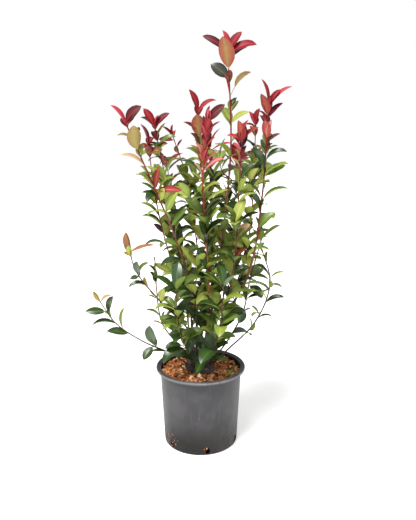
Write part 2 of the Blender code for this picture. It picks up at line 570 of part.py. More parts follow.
def named_object(name, mesh, material=None):
    """A scene object that holds the mesh, with one material."""
    obj = bpy.data.objects.new(name, mesh)
    bpy.context.scene.collection.objects.link(obj)
    if material:
        obj.data.materials.append(material)
    return obj


def mesh_of(name, points, faces):
    mesh = bpy.data.meshes.new(name)
    mesh.from_pydata([tuple(p) for p in points], [], faces)
    return mesh


def combine(body, others, operation):
    """Adds the other objects to the body, or cuts them from it, by one Boolean, and removes them."""
    group = bpy.data.collections.new("others")
    bpy.context.scene.collection.children.link(group)
    for other in others:
        bpy.context.scene.collection.objects.unlink(other)
        group.objects.link(other)
    boolean = body.modifiers.new(operation.lower(), "BOOLEAN")
    boolean.operation = operation
    boolean.operand_type = "COLLECTION"
    boolean.collection = group
    boolean.solver = "EXACT"
    graph = bpy.context.evaluated_depsgraph_get()
    made = bpy.data.meshes.new_from_object(body.evaluated_get(graph))
    body.modifiers.clear()
    body.data = made
    for other in others:
        bpy.data.objects.remove(other)
    bpy.data.collections.remove(group)
    keep_main_shell(body)


def keep_main_shell(body):
    """Keeps a body's largest shell: the others are loose scraps and the walls of sealed hollows."""
    bm = bmesh.new()
    bm.from_mesh(body.data)
    waiting, shells = set(bm.verts), []
    while waiting:
        shell, edge_of = set(), [waiting.pop()]
        while edge_of:
            vert = edge_of.pop()
            shell.add(vert)
            linked = {edge.other_vert(vert) for edge in vert.link_edges} & waiting
            waiting -= linked
            edge_of.extend(linked)
        shells.append(shell)
    shells.sort(key=len)
    for shell in shells[:-1]:
        bmesh.ops.delete(bm, geom=list(shell), context="VERTS")
    bm.to_mesh(body.data)
    bm.free()


def rows_of_faces(rows, around):
    """The faces of a closed body whose points lie in rows of `around`, with both end rows capped."""
    faces = []
    for row in range(rows - 1):
        for k in range(around):
            a = row * around + k
            b = row * around + (k + 1) % around
            faces.append((a, b, b + around, a + around))
    last = (rows - 1) * around
    faces.append(tuple(reversed(range(around))))
    faces.append(tuple(range(last, last + around)))
    return faces


def turned(name, profile, segments):
    """A closed turned shape: a profile of (radius, height) from axis to axis, spun about Z."""
    bm = bmesh.new()
    ring = [bm.verts.new((r, 0, z)) for r, z in profile]
    edges = [bm.edges.new(pair) for pair in zip(ring, ring[1:])]
    round_z = dict(cent=(0, 0, 0), axis=(0, 0, 1), angle=math.tau, steps=segments, use_merge=True)
    bmesh.ops.spin(bm, geom=ring + edges, **round_z)
    bmesh.ops.remove_doubles(bm, verts=bm.verts, dist=1e-6)
    bmesh.ops.recalc_face_normals(bm, faces=bm.faces)
    mesh = bpy.data.meshes.new(name)
    bm.to_mesh(mesh)
    bm.free()
    return mesh


# Pot and soil


def wall_radius(z):
    """The pot's outer radius below its rim, at height z."""
    return WALL_FOOT_RADIUS + (WALL_TOP_RADIUS - WALL_FOOT_RADIUS) * z / POT_HEIGHT


def foot_curve():
    """The rounded corner between the pot's underside and its wall, from the underside up."""
    centre = wall_radius(FOOT_ROUND) - FOOT_ROUND
    turns = [math.radians(a) for a in (-90, -60, -30, 0)]
    return [(centre + FOOT_ROUND * math.cos(a), FOOT_ROUND + FOOT_ROUND * math.sin(a)) for a in turns]


def drain_cutter(bearing):
    """An upright oval bar through the pot's wall at one drain hole, a little above the floor."""
    middle = DRAIN_SILL + DRAIN_HEIGHT / 2
    reach = wall_radius(middle) - WALL / 2
    outward = (math.cos(bearing), math.sin(bearing))
    points = []
    for out in (reach - DRAIN_BAR / 2, reach + DRAIN_BAR / 2):
        for k in range(DRAIN_SIDES):
            turn = math.tau * k / DRAIN_SIDES
            aside = DRAIN_WIDTH / 2 * math.cos(turn)
            x = out * outward[0] - aside * outward[1]
            y = out * outward[1] + aside * outward[0]
            points.append((x, y, middle + DRAIN_HEIGHT / 2 * math.sin(turn)))
    ring = range(DRAIN_SIDES)
    faces = [(k, (k + 1) % DRAIN_SIDES, (k + 1) % DRAIN_SIDES + DRAIN_SIDES, k + DRAIN_SIDES) for k in ring]
    faces.append(tuple(reversed(ring)))
    faces.append(tuple(k + DRAIN_SIDES for k in ring))
    return named_object("drain_cutter", mesh_of("drain_cutter", points, faces))


def make_pot(material):
    """A thin-walled pot: rounded foot, straight tapering wall and a rolled rim that stands out from it."""
    under_rim = POT_HEIGHT - RIM_DEPTH
    profile = [
        (0, 0),
        *foot_curve(),
        (wall_radius(under_rim / 2), under_rim / 2),
        (wall_radius(under_rim), under_rim),
        (RIM_RADIUS - RIM_EDGE, under_rim),
        (RIM_RADIUS, under_rim + RIM_EDGE),
        (RIM_RADIUS - RIM_EDGE / 3, POT_HEIGHT - 2 * RIM_EDGE),
        (RIM_RADIUS - 4 * RIM_EDGE / 3, POT_HEIGHT - RIM_EDGE / 2),
        (RIM_RADIUS - 5 * RIM_EDGE / 2, POT_HEIGHT),
        (WALL_TOP_RADIUS - WALL, POT_HEIGHT - RIM_EDGE),
        (wall_radius(FLOOR) - WALL, FLOOR),
        (0, FLOOR),
    ]
    pot = named_object("pot", turned("pot", profile, POT_SEGMENTS), material)
    bearings = [math.radians(DRAIN_BEARING + 360 / DRAIN_HOLES * k) for k in range(DRAIN_HOLES)]
    combine(pot, [drain_cutter(bearing) for bearing in bearings], "DIFFERENCE")
    pot.data.shade_smooth()
    pot.data.set_sharp_from_angle(angle=math.radians(35))
    return pot


def soil_height(radius, bearing):
    """The mulch's top: level under the crown, a low uneven swell round it, and down a little at the wall."""
    out = min(max((radius - SOIL_RINGS[-1]) / 0.03, 0), 1)
    swell = 0.6 + 0.25 * math.sin(3 * bearing + 0.7) + 0.15 * math.sin(7 * bearing + 2.1)
    fall = min(max((wall_radius(SOIL_TOP) - WALL - SOIL_GAP - radius) / 0.012, 0), 1)
    return SOIL_TOP + SOIL_MOUND * out * swell * fall


def make_soil(material):
    """The root ball and mulch that fill the pot, a hair inside its wall."""
    floor = FLOOR + GAP
    inside = WALL + SOIL_GAP
    rings = [wall_radius(floor) - inside, wall_radius(SOIL_TOP) - inside, *SOIL_RINGS]
    points = []
    for place, radius in enumerate(rings):
        for k in range(POT_SEGMENTS):
            bearing = math.tau * k / POT_SEGMENTS
            z = soil_height(radius, bearing) if place else floor
            points.append((radius * math.cos(bearing), radius * math.sin(bearing), z))
    return named_object("soil", mesh_of("soil", points, rows_of_faces(len(rings), POT_SEGMENTS)), material)


# Limbs and masses as solids


def tube(path, start, end, sides):
    """(points, faces) of a closed tapering limb along the path from start to end."""
    inner = [s for s in path.knots.tolist() if start + 0.2 * LIMB_PIECE < s < end - 0.2 * LIMB_PIECE]
    places = [start, *inner, end]
    points = []
    for s in places:
        centre = path.point(s)
        _, first, second = path.frame(s)
        for k in range(sides):
            turn = math.tau * k / sides
            points.append(centre + path.radius(s) * (math.cos(turn) * first + math.sin(turn) * second))
    return points, rows_of_faces(len(places), sides)


def make_crown(material):
    """The woody root crown: a knotted mound, flat at the soil, with a stub for each stem that leaves it."""
    points = []
    for step in range(CROWN_STEPS):
        lift = math.radians(90 * step / CROWN_STEPS)
        for k in range(CROWN_SEGMENTS):
            bearing = math.tau * k / CROWN_SEGMENTS
            knots = 1 + 0.07 * math.sin(5 * bearing + 2 * step) + 0.04 * math.sin(9 * bearing - step)
            radius = CROWN_RADIUS * math.cos(lift) * knots
            z = SOIL_TOP + GAP + CROWN_HEIGHT * math.sin(lift)
            points.append((radius * math.cos(bearing), radius * math.sin(bearing), z))
    mound = mesh_of("root_crown", points, rows_of_faces(CROWN_STEPS, CROWN_SEGMENTS))
    crown = named_object("root_crown", mound, material)
    stubs = []
    for name, stem in STEMS.items():
        if "foot" in stem:
            stub = tube(stem_path(name), 0, STUB, LIMB_SIDES)
            stubs.append(named_object("stub", mesh_of("stub", *stub)))
    combine(crown, stubs, "UNION")
    return crown


class Space:
    """The surfaces that a new twig or leaf has to stay clear of, each with the name of what it belongs to."""

    def __init__(self):
        self.surfaces = []

    @staticmethod
    def surface(points, faces):
        middle = sum(points) / len(points)
        reach = max(float(np.linalg.norm(p - middle)) for p in points)
        return BVHTree.FromPolygons([tuple(p) for p in points], faces), middle, reach

    def add(self, owner, points, faces):
        self.surfaces.append((owner, *self.surface(points, faces)))

    def is_free(self, points, faces, but=()):
        """Whether the shape touches nothing here, apart from what belongs to the owners in `but`."""
        tree, middle, reach = self.surface(points, faces)
        for owner, other, centre, size in self.surfaces:
            if owner not in but and np.linalg.norm(centre - middle) < size + reach and tree.overlap(other):
                return False
        return True


def find_room(name, limb_name, leaves, space, outer_parts):
    """The leaves of one limb that have room: clear of every other limb and mass, and of their own mass over
    their outer part. Each takes its place as it is found."""
    kept = []
    for leaf in leaves:
        outer = OUTER_SHARE * leaf.length
        if not outer_parts.is_free(leaf.points(CLEARANCE, outer), LEAF_FACES):
            continue
        if space.is_free(leaf.points(CLEARANCE), LEAF_FACES, (name, limb_name)):
            outer_parts.add(name, leaf.points(0, outer), LEAF_FACES)
            space.add(name, leaf.points(), LEAF_FACES)
            kept.append((leaf.points(), LEAF_FACES))
    return kept


def grow_all(space):
    """The twigs and leaves of each stem as (points, faces): the set leaves and tips of all stems first, then
    their old leaves, then the side twigs in turn, each of which is left out with its leaves where it has no
    room."""
    grown = {name: growth_of(name) for name in STEMS}
    outer_parts = {name: Space() for name in STEMS}
    shapes = {name: [] for name in STEMS}
    for turn in range(max(len(parts) for parts in grown.values())):
        for name, parts in grown.items():
            if turn >= len(parts):
                continue
            limb, leaves = parts[turn]
            limb_name = f"{name} stem"
            if turn > 1:
                limb_name = f"{name} twig {turn}"
                shell = tube(limb, 0, limb.length, 3)
                if not (space.is_free(*shell, (name, f"{name} stem")) and outer_parts[name].is_free(*shell)):
                    continue
                shapes[name].append(shell)
                space.add(limb_name, *shell)
            shapes[name] += find_room(name, limb_name, leaves, space, outer_parts[name])
    return shapes


def main():
    for obj in list(bpy.data.objects):
        bpy.data.objects.remove(obj)
    pot_grey = principled("pot_plastic", (0.095, 0.096, 0.100), 0.45)
    mulch = principled("mulch", (0.300, 0.130, 0.050), 0.90)
    bark = principled("bark", (0.230, 0.095, 0.055), 0.70)
    green = principled("leaf_green", (0.085, 0.190, 0.035), 0.35)

    space = Space()
    for solid in (make_pot(pot_grey), make_soil(mulch), make_crown(bark)):
        corners = [np.array(v.co) for v in solid.data.vertices]
        space.add("foot", corners, [tuple(p.vertices) for p in solid.data.polygons])
    starts = {}
    for name, stem in STEMS.items():
        path = stem_path(name)
        foot = STUB + GAP if "foot" in stem else 0
        starts[name] = max(foot, stem["leaves"] * path.length)
        if starts[name] > foot:
            bough = mesh_of(name, *tube(path, foot, starts[name] - GAP, LIMB_SIDES))
            named_object(f"{name}_bough", bough, bark)
        space.add(f"{name} stem", *tube(path, foot, path.length, LIMB_SIDES))
    for name, shapes in grow_all(space).items():
        path = stem_path(name)
        stem = mesh_of(name, *tube(path, starts[name], path.length, 3))
        mass = named_object(f"{name}_mass", stem, green)
        combine(mass, [named_object("sprig", mesh_of("sprig", *shape)) for shape in shapes], "UNION")
        print(name, len(shapes), "twigs and leaves")


main()
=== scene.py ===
# %% [markdown]
# # A potted photinia
# A photinia is a garden shrub that is grown for its tips: the young leaves come out red, then turn bronze and
# at last green. This one stands in a nursery pot, as a clump of stems from one woody crown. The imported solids
# give where each stem runs and how far the crown reaches. This script grows the same stems and leaves again
# from the same rule and seeds, now with the shape of real leaves, bark and plastic.

# %% The frame
import math
import random

import bpy
import numpy as np
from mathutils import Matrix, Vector


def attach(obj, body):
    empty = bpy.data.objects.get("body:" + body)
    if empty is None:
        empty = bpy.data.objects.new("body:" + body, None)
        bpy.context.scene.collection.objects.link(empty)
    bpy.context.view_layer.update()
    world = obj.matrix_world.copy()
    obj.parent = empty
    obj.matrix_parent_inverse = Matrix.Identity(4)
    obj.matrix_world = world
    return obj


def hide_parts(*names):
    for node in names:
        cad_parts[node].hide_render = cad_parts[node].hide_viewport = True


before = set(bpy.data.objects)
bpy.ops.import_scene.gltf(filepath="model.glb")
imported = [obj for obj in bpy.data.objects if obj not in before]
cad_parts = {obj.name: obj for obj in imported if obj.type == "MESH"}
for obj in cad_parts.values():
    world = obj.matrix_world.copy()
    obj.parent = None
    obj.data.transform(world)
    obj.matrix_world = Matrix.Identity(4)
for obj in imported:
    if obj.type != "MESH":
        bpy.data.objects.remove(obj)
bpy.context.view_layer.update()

print("packed nodes:", len(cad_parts))

# %% [markdown]
# ## The camera
# The photograph was taken from a little under two metres away, about the height of the shrub's upper leaves,
# looking down by a good ten degrees. The camera's place and turn were fitted to points in the picture, mostly
# on the two ellipses that the pot's rim and foot make, with 0.28 m over the rim as the measure. Through it,
# where a stem or a leaf lies in the picture becomes a place in the frame.

# %% The camera
EYE = (0.0, -1.767, 1.012)
LOOK_DOWN = math.radians(13.43)
LOOK_ASIDE = math.radians(0.75)
FILM_HEIGHT = 36.0
FOCAL_LENGTH = 41.54


def placed(name, data):
    """A new object of this name that holds the data, in the scene."""
    thing = bpy.data.objects.new(name, data)
    bpy.context.scene.collection.objects.link(thing)
    return thing


forward = Vector((
    math.sin(LOOK_ASIDE) * math.cos(LOOK_DOWN),
    math.cos(LOOK_ASIDE) * math.cos(LOOK_DOWN),
    -math.sin(LOOK_DOWN),
))
camera = placed("camera", bpy.data.cameras.new("camera"))
camera.location = EYE
camera.rotation_euler = forward.to_track_quat("-Z", "Y").to_euler()
camera.data.sensor_fit = "VERTICAL"
camera.data.sensor_height = FILM_HEIGHT
camera.data.lens = FOCAL_LENGTH
bpy.context.scene.camera = camera
print("camera", tuple(round(v, 3) for v in camera.location))

# %% [markdown]
# ## Shader sums
# A procedural material is a sum worked out at every point of a surface. Wired by hand it takes dozens of
# nodes, and nobody can read them. A small class that stands for one socket, with its operators overloaded,
# lets the sum be written as a line of Python instead.


# %% Shader sums
class Value:
    """One output socket. Arithmetic on it adds a Math node and gives that node's output."""

    def __init__(self, tree, socket):
        self.tree = tree
        self.socket = socket

    def math(self, operation, *terms):
        node = self.tree.nodes.new("ShaderNodeMath")
        node.operation = operation
        for socket, term in zip(node.inputs, terms):
            plug(self.tree, socket, term)
        return Value(self.tree, node.outputs[0])

    def __add__(self, other):
        return self.math("ADD", self, other)

    def __sub__(self, other):
        return self.math("SUBTRACT", self, other)

    def __rsub__(self, other):
        return self.math("SUBTRACT", other, self)

    def __mul__(self, other):
        return self.math("MULTIPLY", self, other)

    def __truediv__(self, other):
        return self.math("DIVIDE", self, other)

    def __rtruediv__(self, other):
        return self.math("DIVIDE", other, self)

    def __pow__(self, other):
        return self.math("POWER", self, other)

    __radd__ = __add__
    __rmul__ = __mul__

    def above(self, low, high):
        """0 where the value is at most low, 1 from high upwards, and a smooth step between."""
        node = self.tree.nodes.new("ShaderNodeMapRange")
        node.interpolation_type = "SMOOTHSTEP"
        plug(self.tree, node.inputs[0], self)
        plug(self.tree, node.inputs[1], low)
        plug(self.tree, node.inputs[2], high)
        return Value(self.tree, node.outputs[0])


def plug(tree, socket, term):
    """Links a Value into the socket, or sets the socket to a number or colour."""
    if isinstance(term, Value):
        tree.links.new(term.socket, socket)
    else:
        socket.default_value = term


def rgb(red, green, blue):
    """A colour as a screen shows it, 0 to 255 a channel, turned to the light's own strength."""
    levels = np.array([red, green, blue]) / 255
    light = np.where(levels > 0.04045, ((levels + 0.055) / 1.055) ** 2.4, levels / 12.92)
    return (*light.tolist(), 1.0)


def shaded(colour, factor):
    """The colour made darker or lighter by a factor, with no channel over its full strength."""
    return tuple(min(v * factor, 1.0) for v in colour[:3]) + (1.0,)


class Finish:
    """A material being made: one Principled shader and the nodes that feed it."""

    def __init__(self, name, **constants):
        self.material = bpy.data.materials.new(name)
        self.material.use_nodes = True
        self.tree = self.material.node_tree
        self.shader = self.tree.nodes["Principled BSDF"]
        for socket, value in constants.items():
            self.shader.inputs[socket.replace("_", " ")].default_value = value

    def node(self, kind, settings, inputs, output=0):
        """Adds one node: its settings first, then the values or links of its sockets."""
        node = self.tree.nodes.new("ShaderNode" + kind)
        for key, value in settings.items():
            setattr(node, key, value)
        for key, term in inputs.items():
            plug(self.tree, node.inputs[key], term)
        return Value(self.tree, node.outputs[output])

    def place(self):
        """The point in metres, in the shared frame, because every object sits at the origin."""
        return self.node("TexCoord", {}, {}, "Object")

    def axis(self, letter):
        return self.node("SeparateXYZ", {}, {0: self.place()}, letter)

    def noise(self, size, detail=2.0, stretch=(1, 1, 1)):
        """Soft clouds about `size` metres across, from 0 to 1, drawn out along an axis by `stretch`."""
        scale = tuple(1 / (size * s) for s in stretch)
        where = self.node("Mapping", {}, {"Vector": self.place(), "Scale": scale})
        return self.node("TexNoise", {}, {"Vector": where, "Scale": 1.0, "Detail": detail})

    def attribute(self, name):
        return self.node("Attribute", {"attribute_name": name}, {}, "Fac")

    def mix(self, share, first, second):
        """One colour where share is 0, the other where it is 1."""
        inputs = {0: share, 6: first, 7: second}
        return self.node("Mix", {"data_type": "RGBA"}, inputs, 2)

    def ramp(self, value, stops):
        """A colour by value: stops are (place, colour), in rising order."""
        node = self.tree.nodes.new("ShaderNodeValToRGB")
        places = node.color_ramp.elements
        while len(places) < len(stops):
            places.new(1.0)
        for element, (place, colour) in zip(places, stops):
            element.position = place
            element.color = colour
        plug(self.tree, node.inputs[0], value)
        return Value(self.tree, node.outputs[0])

    def bump(self, height, distance, strength=1.0):
        """Feeds the shader's normal from a height between 0 and 1 that stands for `distance` metres."""
        inputs = {"Height": height, "Distance": distance, "Strength": strength}
        self.set("Normal", self.node("Bump", {}, inputs))

    def set(self, name, value):
        plug(self.tree, self.shader.inputs[name], value)


print("shader sums ready")

# %% [markdown]
# ## Surfaces from arrays
# Every new piece here is a grid of points that numpy works out at once, from two parameters: along and
# around, or out and round. The same few lines turn any such grid into faces. A row whose points all meet
# closes a pole, as at a leaf's tip.


# %% Surfaces from arrays
def grid_faces(rows, columns, closed):
    """The corner numbers of a grid's quads, (count, 4). A closed grid joins its last column to the first."""
    steps = columns if closed else columns - 1
    row, step = np.meshgrid(np.arange(rows - 1), np.arange(steps), indexing="ij")
    left = row * columns + step
    right = row * columns + (step + 1) % columns
    return np.stack([left, right, right + columns, left + columns], axis=-1).reshape(-1, 4)


def surface(name, points, faces, finishes, finish_of=None, sharp_over=60.0, fields=None):
    """A piece from points (n, 3) and faces: smooth shaded but for edges that turn by more than sharp_over
    degrees. finish_of gives each face's place in finishes, and fields are numbers kept at the points."""
    mesh = bpy.data.meshes.new(name)
    mesh.from_pydata(np.asarray(points, float).reshape(-1, 3).tolist(), [], faces)
    for finish in finishes:
        mesh.materials.append(finish.material)
    if finish_of is not None:
        mesh.polygons.foreach_set("material_index", np.asarray(finish_of, np.int32))
    for key, values in (fields or {}).items():
        field = mesh.attributes.new(key, "FLOAT", "POINT")
        field.data.foreach_set("value", np.asarray(values, np.float32).reshape(-1))
    mesh.shade_smooth()
    mesh.set_sharp_from_angle(angle=math.radians(sharp_over))
    mesh.update()
    piece = placed(name, mesh)
    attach(piece, "root")
    print(name, len(mesh.polygons), "faces")
    return piece


def without_repeats(faces):
    """The faces (lists of corner numbers) without corners that repeat the one before, where that leaves at
    least three."""
    for face in faces:
        corners = [c for k, c in enumerate(face) if c != face[k - 1]]
        if len(corners) > 2:
            yield corners


def merged_poles(points, faces):
    """Points and faces with every group of equal points made one, and faces of fewer than three corners
    dropped. It closes the poles and seams of a grid."""
    keys = np.round(points * 1e6).astype(np.int64)
    _, first, same = np.unique(keys, axis=0, return_index=True, return_inverse=True)
    same = same.reshape(-1)
    return points[first], list(without_repeats(same[faces].tolist()))


# %% [markdown]
# ## The pot
# Nursery pots are blown or pressed from recycled plastic: a thin wall that tapers so that pots nest, a rolled
# rim to lift them by, and a row of holes round the foot. The plastic is a satin charcoal, a little scuffed
# and dusty, with grains of sand and soil by the foot. A profile turned about the axis gives its shape, and
# the holes are cut through the wall afterwards, because a turned grid has no place for them.

# %% The pot's profile
POT_HEIGHT = 0.252
RIM_RADIUS = 0.140
RIM_DEPTH = 0.012
WALL_TOP_RADIUS = 0.1275
WALL_FOOT_RADIUS = 0.1155
WALL = 0.0025
FLOOR = 0.003
FOOT_ROUND = 0.006
POT_AROUND = 144
POT_SHARP = 50
# The underside's middle stands up from a ring at its foot, which begins and ends so far inside the rounding.
FOOT_RECESS = 0.0012
RING_START = 0.010
RING_STOP = 0.007
# The straight part of the wall stops short of the foot's rounding and of the rim, and the lining of the mouth
# and the floor. Each is a number of rows.
WALL_SHORT = 0.004
WALL_ROWS = 14
LINING_TOP = 0.006
LINING_FOOT = 0.001
LINING_ROWS = 10
# The rim's flat lip inside its bead, how far it lies below the bead's top, and how it falls to the mouth.
RIM_LIP = 0.003
LIP_SINK = 0.0004
MOUTH_WIDER = 0.0012
MOUTH_SINK = 0.0030


def wall_radius(z):
    """The pot's outer radius below its rim, at height z."""
    return WALL_FOOT_RADIUS + (WALL_TOP_RADIUS - WALL_FOOT_RADIUS) * z / POT_HEIGHT


def arc(centre, radius, start, stop, count):
    """Points (radius, height) on a circle from one bearing to another, in degrees."""
    turn = np.radians(np.linspace(start, stop, count))
    return np.stack([centre[0] + radius * np.cos(turn), centre[1] + radius * np.sin(turn)], axis=1)


def pot_profile():
    """(radius, height) from the middle of the underside, up the outside, over the rim and down the inside:
    a foot ring, a rounded foot, the straight wall, a step, the rolled rim, and the wall's inner face."""
    under_rim = POT_HEIGHT - RIM_DEPTH
    foot = wall_radius(FOOT_ROUND) - FOOT_ROUND
    rise = np.linspace(FOOT_ROUND + WALL_SHORT, under_rim - WALL_SHORT, WALL_ROWS)
    wall = np.stack([wall_radius(rise), rise], axis=1)
    inner = np.linspace(POT_HEIGHT - LINING_TOP, FLOOR + LINING_FOOT, LINING_ROWS)
    lining = np.stack([wall_radius(inner) - WALL, inner], axis=1)
    bead = RIM_DEPTH / 2
    pieces = [
        [(0, FOOT_RECESS), (foot - RING_START, FOOT_RECESS), (foot - RING_STOP, 0.0)],
        arc((foot, FOOT_ROUND), FOOT_ROUND, -90, 0, 6),
        wall,
        [(wall_radius(under_rim), under_rim), (RIM_RADIUS - bead - RIM_LIP, under_rim)],
        arc((RIM_RADIUS - bead, POT_HEIGHT - bead), bead, -90, 90, 15),
        [
            (RIM_RADIUS - bead - RIM_LIP, POT_HEIGHT - LIP_SINK),
            (WALL_TOP_RADIUS - WALL + MOUTH_WIDER, POT_HEIGHT - MOUTH_SINK),
        ],
        lining,
        [(0, FLOOR)],
    ]
    return np.concatenate([np.asarray(piece, float) for piece in pieces])


# %% The pot's plastic
# Heights and places are in metres. Dust fades out up the wall, and the wall grows darker towards the foot.
# The foot is less dark towards the right, a painted light for the side that catches more light, and a strip
# at the left is darker, a painted shade. The lighter band round the bead, between its side and its top, is a
# painted highlight, and the darker inner face of the wall is painted shade. These are painted on, and stay
# there when the pot is turned or relit.
FOOT_FADE = (0.020, 0.150)
LIT_SIDE = (-0.110, 0.160)
SHADED_STRIP = (-0.125, -0.075)
BEAD_SIDE = (POT_HEIGHT - 0.0085, POT_HEIGHT - 0.0050)
BEAD_TOP = (POT_HEIGHT - 0.0035, POT_HEIGHT - 0.0010)
INSIDE_WALL = (-0.0020, -0.0008)
# Each smudge of soil: its bearing, its height and how far it reaches.
SMUDGES = [(-141, 0.020, 0.020), (-128, 0.008, 0.014), (-24, 0.026, 0.016), (-80, 0.024, 0.012)]

plastic = Finish("pot_plastic", Specular_IOR_Level=0.24)
cloud = plastic.noise(0.060, 3.0)
streak = plastic.noise(0.012, 4.0, (1, 1, 9))
speck = plastic.noise(0.0030, 3.0)
x, y, z = (plastic.axis(letter) for letter in "XYZ")
low = 1 - z.above(*FOOT_FADE)
grey = plastic.mix(cloud.above(0.35, 0.70), rgb(60, 59, 61), rgb(72, 70, 72))
grey = plastic.mix(streak.above(0.50, 0.80) * 0.35, grey, rgb(94, 92, 94))
dust = (plastic.noise(0.018, 5.0) * 0.8 + low * 0.4).above(0.60, 0.95)
grey = plastic.mix(dust * low * 0.45, grey, rgb(78, 62, 50))
# Darker towards the foot. Less so towards the right: painted light for the side that catches more light.
grey = plastic.mix(low * (1 - x.above(*LIT_SIDE) * 0.30), grey, rgb(20, 16, 15))
grey = plastic.mix((1 - x.above(*SHADED_STRIP)) * 0.45, grey, rgb(34, 31, 31))
# A lighter band round the bead, between its side and its top: a painted highlight.
painted_bead_highlight = z.above(*BEAD_SIDE) * (1 - z.above(*BEAD_TOP)) * streak
grey = plastic.mix(painted_bead_highlight, grey, rgb(146, 145, 146))
beyond = (x * x + y * y) ** 0.5 - (WALL_FOOT_RADIUS + z * (WALL_TOP_RADIUS - WALL_FOOT_RADIUS) / POT_HEIGHT)
# Nearly black more than a millimetre or two inside the outer wall, as on its inner face: painted shade.
inside = 1 - beyond.above(*INSIDE_WALL)
grey = plastic.mix(inside * 0.85, grey, rgb(20, 17, 16))
soiled = inside * 0
for bearing, height, reach in SMUDGES:
    spot = [wall_radius(height) * turn(math.radians(bearing)) for turn in (math.cos, math.sin)]
    ends = {0: plastic.place(), 1: (*spot, height)}
    apart = plastic.node("VectorMath", {"operation": "DISTANCE"}, ends, "Value")
    soiled = soiled + 1 - apart.above(0.2 * reach, reach)
soiled = (soiled * 0.55 + speck * 0.9).above(0.85, 1.05)
plastic.set("Base Color", plastic.mix(soiled * 0.85, grey, rgb(38, 25, 18)))
plastic.set("Roughness", 0.34 + cloud * 0.12 + dust * 0.20 + soiled * 0.25)
plastic.bump(speck * 0.4 + cloud + soiled, 0.0006, 0.35)

# %% The pot
DRAIN_HOLES = 6
DRAIN_BEARING = -80.0
DRAIN_WIDTH = 0.016
DRAIN_HEIGHT = 0.020
DRAIN_SILL = 0.005
BAR_AROUND = 32
BAR_INWARD = 0.012
BAR_OUTWARD = 0.008


def turned(name, profile, around, finish):
    """The profile carried round the axis: x, y = radius times (cos, sin) of the bearing, z = height."""
    bearing = np.linspace(0, math.tau, around, endpoint=False)
    radius, height = profile[:, 0, None], profile[:, 1, None]
    x, y = radius * np.cos(bearing), radius * np.sin(bearing)
    points = np.stack([x, y, height + 0 * x], axis=-1).reshape(-1, 3)
    points, faces = merged_poles(points, grid_faces(len(profile), around, True))
    return surface(name, points, faces, [finish], sharp_over=POT_SHARP)


def hole_bar(bearing):
    """An upright oval bar through the wall at one hole: an ellipse in the wall's plane, carried outwards."""
    turn = np.linspace(0, math.tau, BAR_AROUND, endpoint=False)
    near, far = wall_radius(0) - BAR_INWARD, wall_radius(0) + BAR_OUTWARD
    out = np.array([near, near, far, far])[:, None]
    width = np.array([0, 1, 1, 0])[:, None]
    aside = width * DRAIN_WIDTH / 2 * np.cos(turn)
    z = DRAIN_SILL + DRAIN_HEIGHT / 2 + width * DRAIN_HEIGHT / 2 * np.sin(turn)
    x = out * math.cos(bearing) - aside * math.sin(bearing)
    y = out * math.sin(bearing) + aside * math.cos(bearing)
    points = np.stack([x, y, z], axis=-1).reshape(-1, 3)
    points, faces = merged_poles(points, grid_faces(len(out), BAR_AROUND, True))
    mesh = bpy.data.meshes.new("hole_bar")
    mesh.from_pydata(points.tolist(), [], faces)
    return bpy.data.objects.new("hole_bar", mesh)


def cut_holes(body, bars):
    """Takes the bars from the body by one Boolean, applies it and removes them."""
    group = bpy.data.collections.new("bars")
    bpy.context.scene.collection.children.link(group)
    for bar in bars:
        group.objects.link(bar)
    cut = body.modifiers.new("cut", "BOOLEAN")
    cut.operation = "DIFFERENCE"
    cut.operand_type = "COLLECTION"
    cut.collection = group
    cut.solver = "EXACT"
    graph = bpy.context.evaluated_depsgraph_get()
    cut_mesh = bpy.data.meshes.new_from_object(body.evaluated_get(graph))
    body.modifiers.clear()
    body.data = cut_mesh
    for bar in bars:
        bpy.data.objects.remove(bar)
    bpy.data.collections.remove(group)


pot = turned("nursery_pot", pot_profile(), POT_AROUND, plastic)
hole_bearings = np.radians(DRAIN_BEARING + 360 / DRAIN_HOLES * np.arange(DRAIN_HOLES))
cut_holes(pot, [hole_bar(bearing) for bearing in hole_bearings])
pot.data.shade_smooth()
pot.data.set_sharp_from_angle(angle=math.radians(POT_SHARP))
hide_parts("pot")
print("pot with holes:", len(pot.data.polygons), "faces")

# %% [markdown]
# ## The mulch
# The root ball is topped with chips of pine bark, from splinters to pieces as long as a thumb nail, tan where
# they are freshly broken and dark where the outer bark shows. One bumpy surface carries them, and each chip
# is a skewed slab of its own. They are many, so a chip has six faces, and one set of arrays makes them all.

# %% The mulch's surface
SOIL_TOP = 0.229
SOIL_MOUND = 0.006
SOIL_GAP = 0.0004
MULCH_RADIUS = wall_radius(SOIL_TOP) - WALL - SOIL_GAP
# The ring of mulch starts so far from the axis, rises over one width and falls to the wall over another.
MULCH_START = 0.030
MULCH_RISE = 0.035
MULCH_FALL = 0.012
CRUMB_HEIGHT = 0.0011
BALL_RINGS = 44
BALL_AROUND = 120
BALL_ROUND = 0.008
BALL_SEAT = 0.0003

compost = Finish("compost", Roughness=0.95)
crumbs = compost.noise(0.004, 4.0)
earth = compost.mix(crumbs.above(0.35, 0.65), rgb(34, 21, 14), rgb(96, 56, 32))
# Nearly black below 3 to 6 cm up: painted shade, so the drain holes look dark.
compost.set("Base Color", compost.mix(compost.axis("Z").above(0.030, 0.060), rgb(16, 11, 9), earth))
compost.bump(crumbs, 0.0025)


def swell(x, y):
    """The mulch's height: a low uneven ring of a few slow waves, lower by the wall and under the crown."""
    radius = np.hypot(x, y)
    bearing = np.arctan2(y, x)
    ring = np.clip((radius - MULCH_START) / MULCH_RISE, 0, 1)
    ring = ring * np.clip((MULCH_RADIUS - radius) / MULCH_FALL, 0, 1)
    waves = 0.6 + 0.25 * np.sin(3 * bearing + 0.7) + 0.15 * np.sin(7 * bearing + 2.1)
    fine = CRUMB_HEIGHT * np.sin(330 * x + 3 * np.sin(140 * y)) * np.sin(290 * y + 2 * np.sin(170 * x))
    return SOIL_TOP + SOIL_MOUND * ring * waves + fine * ring


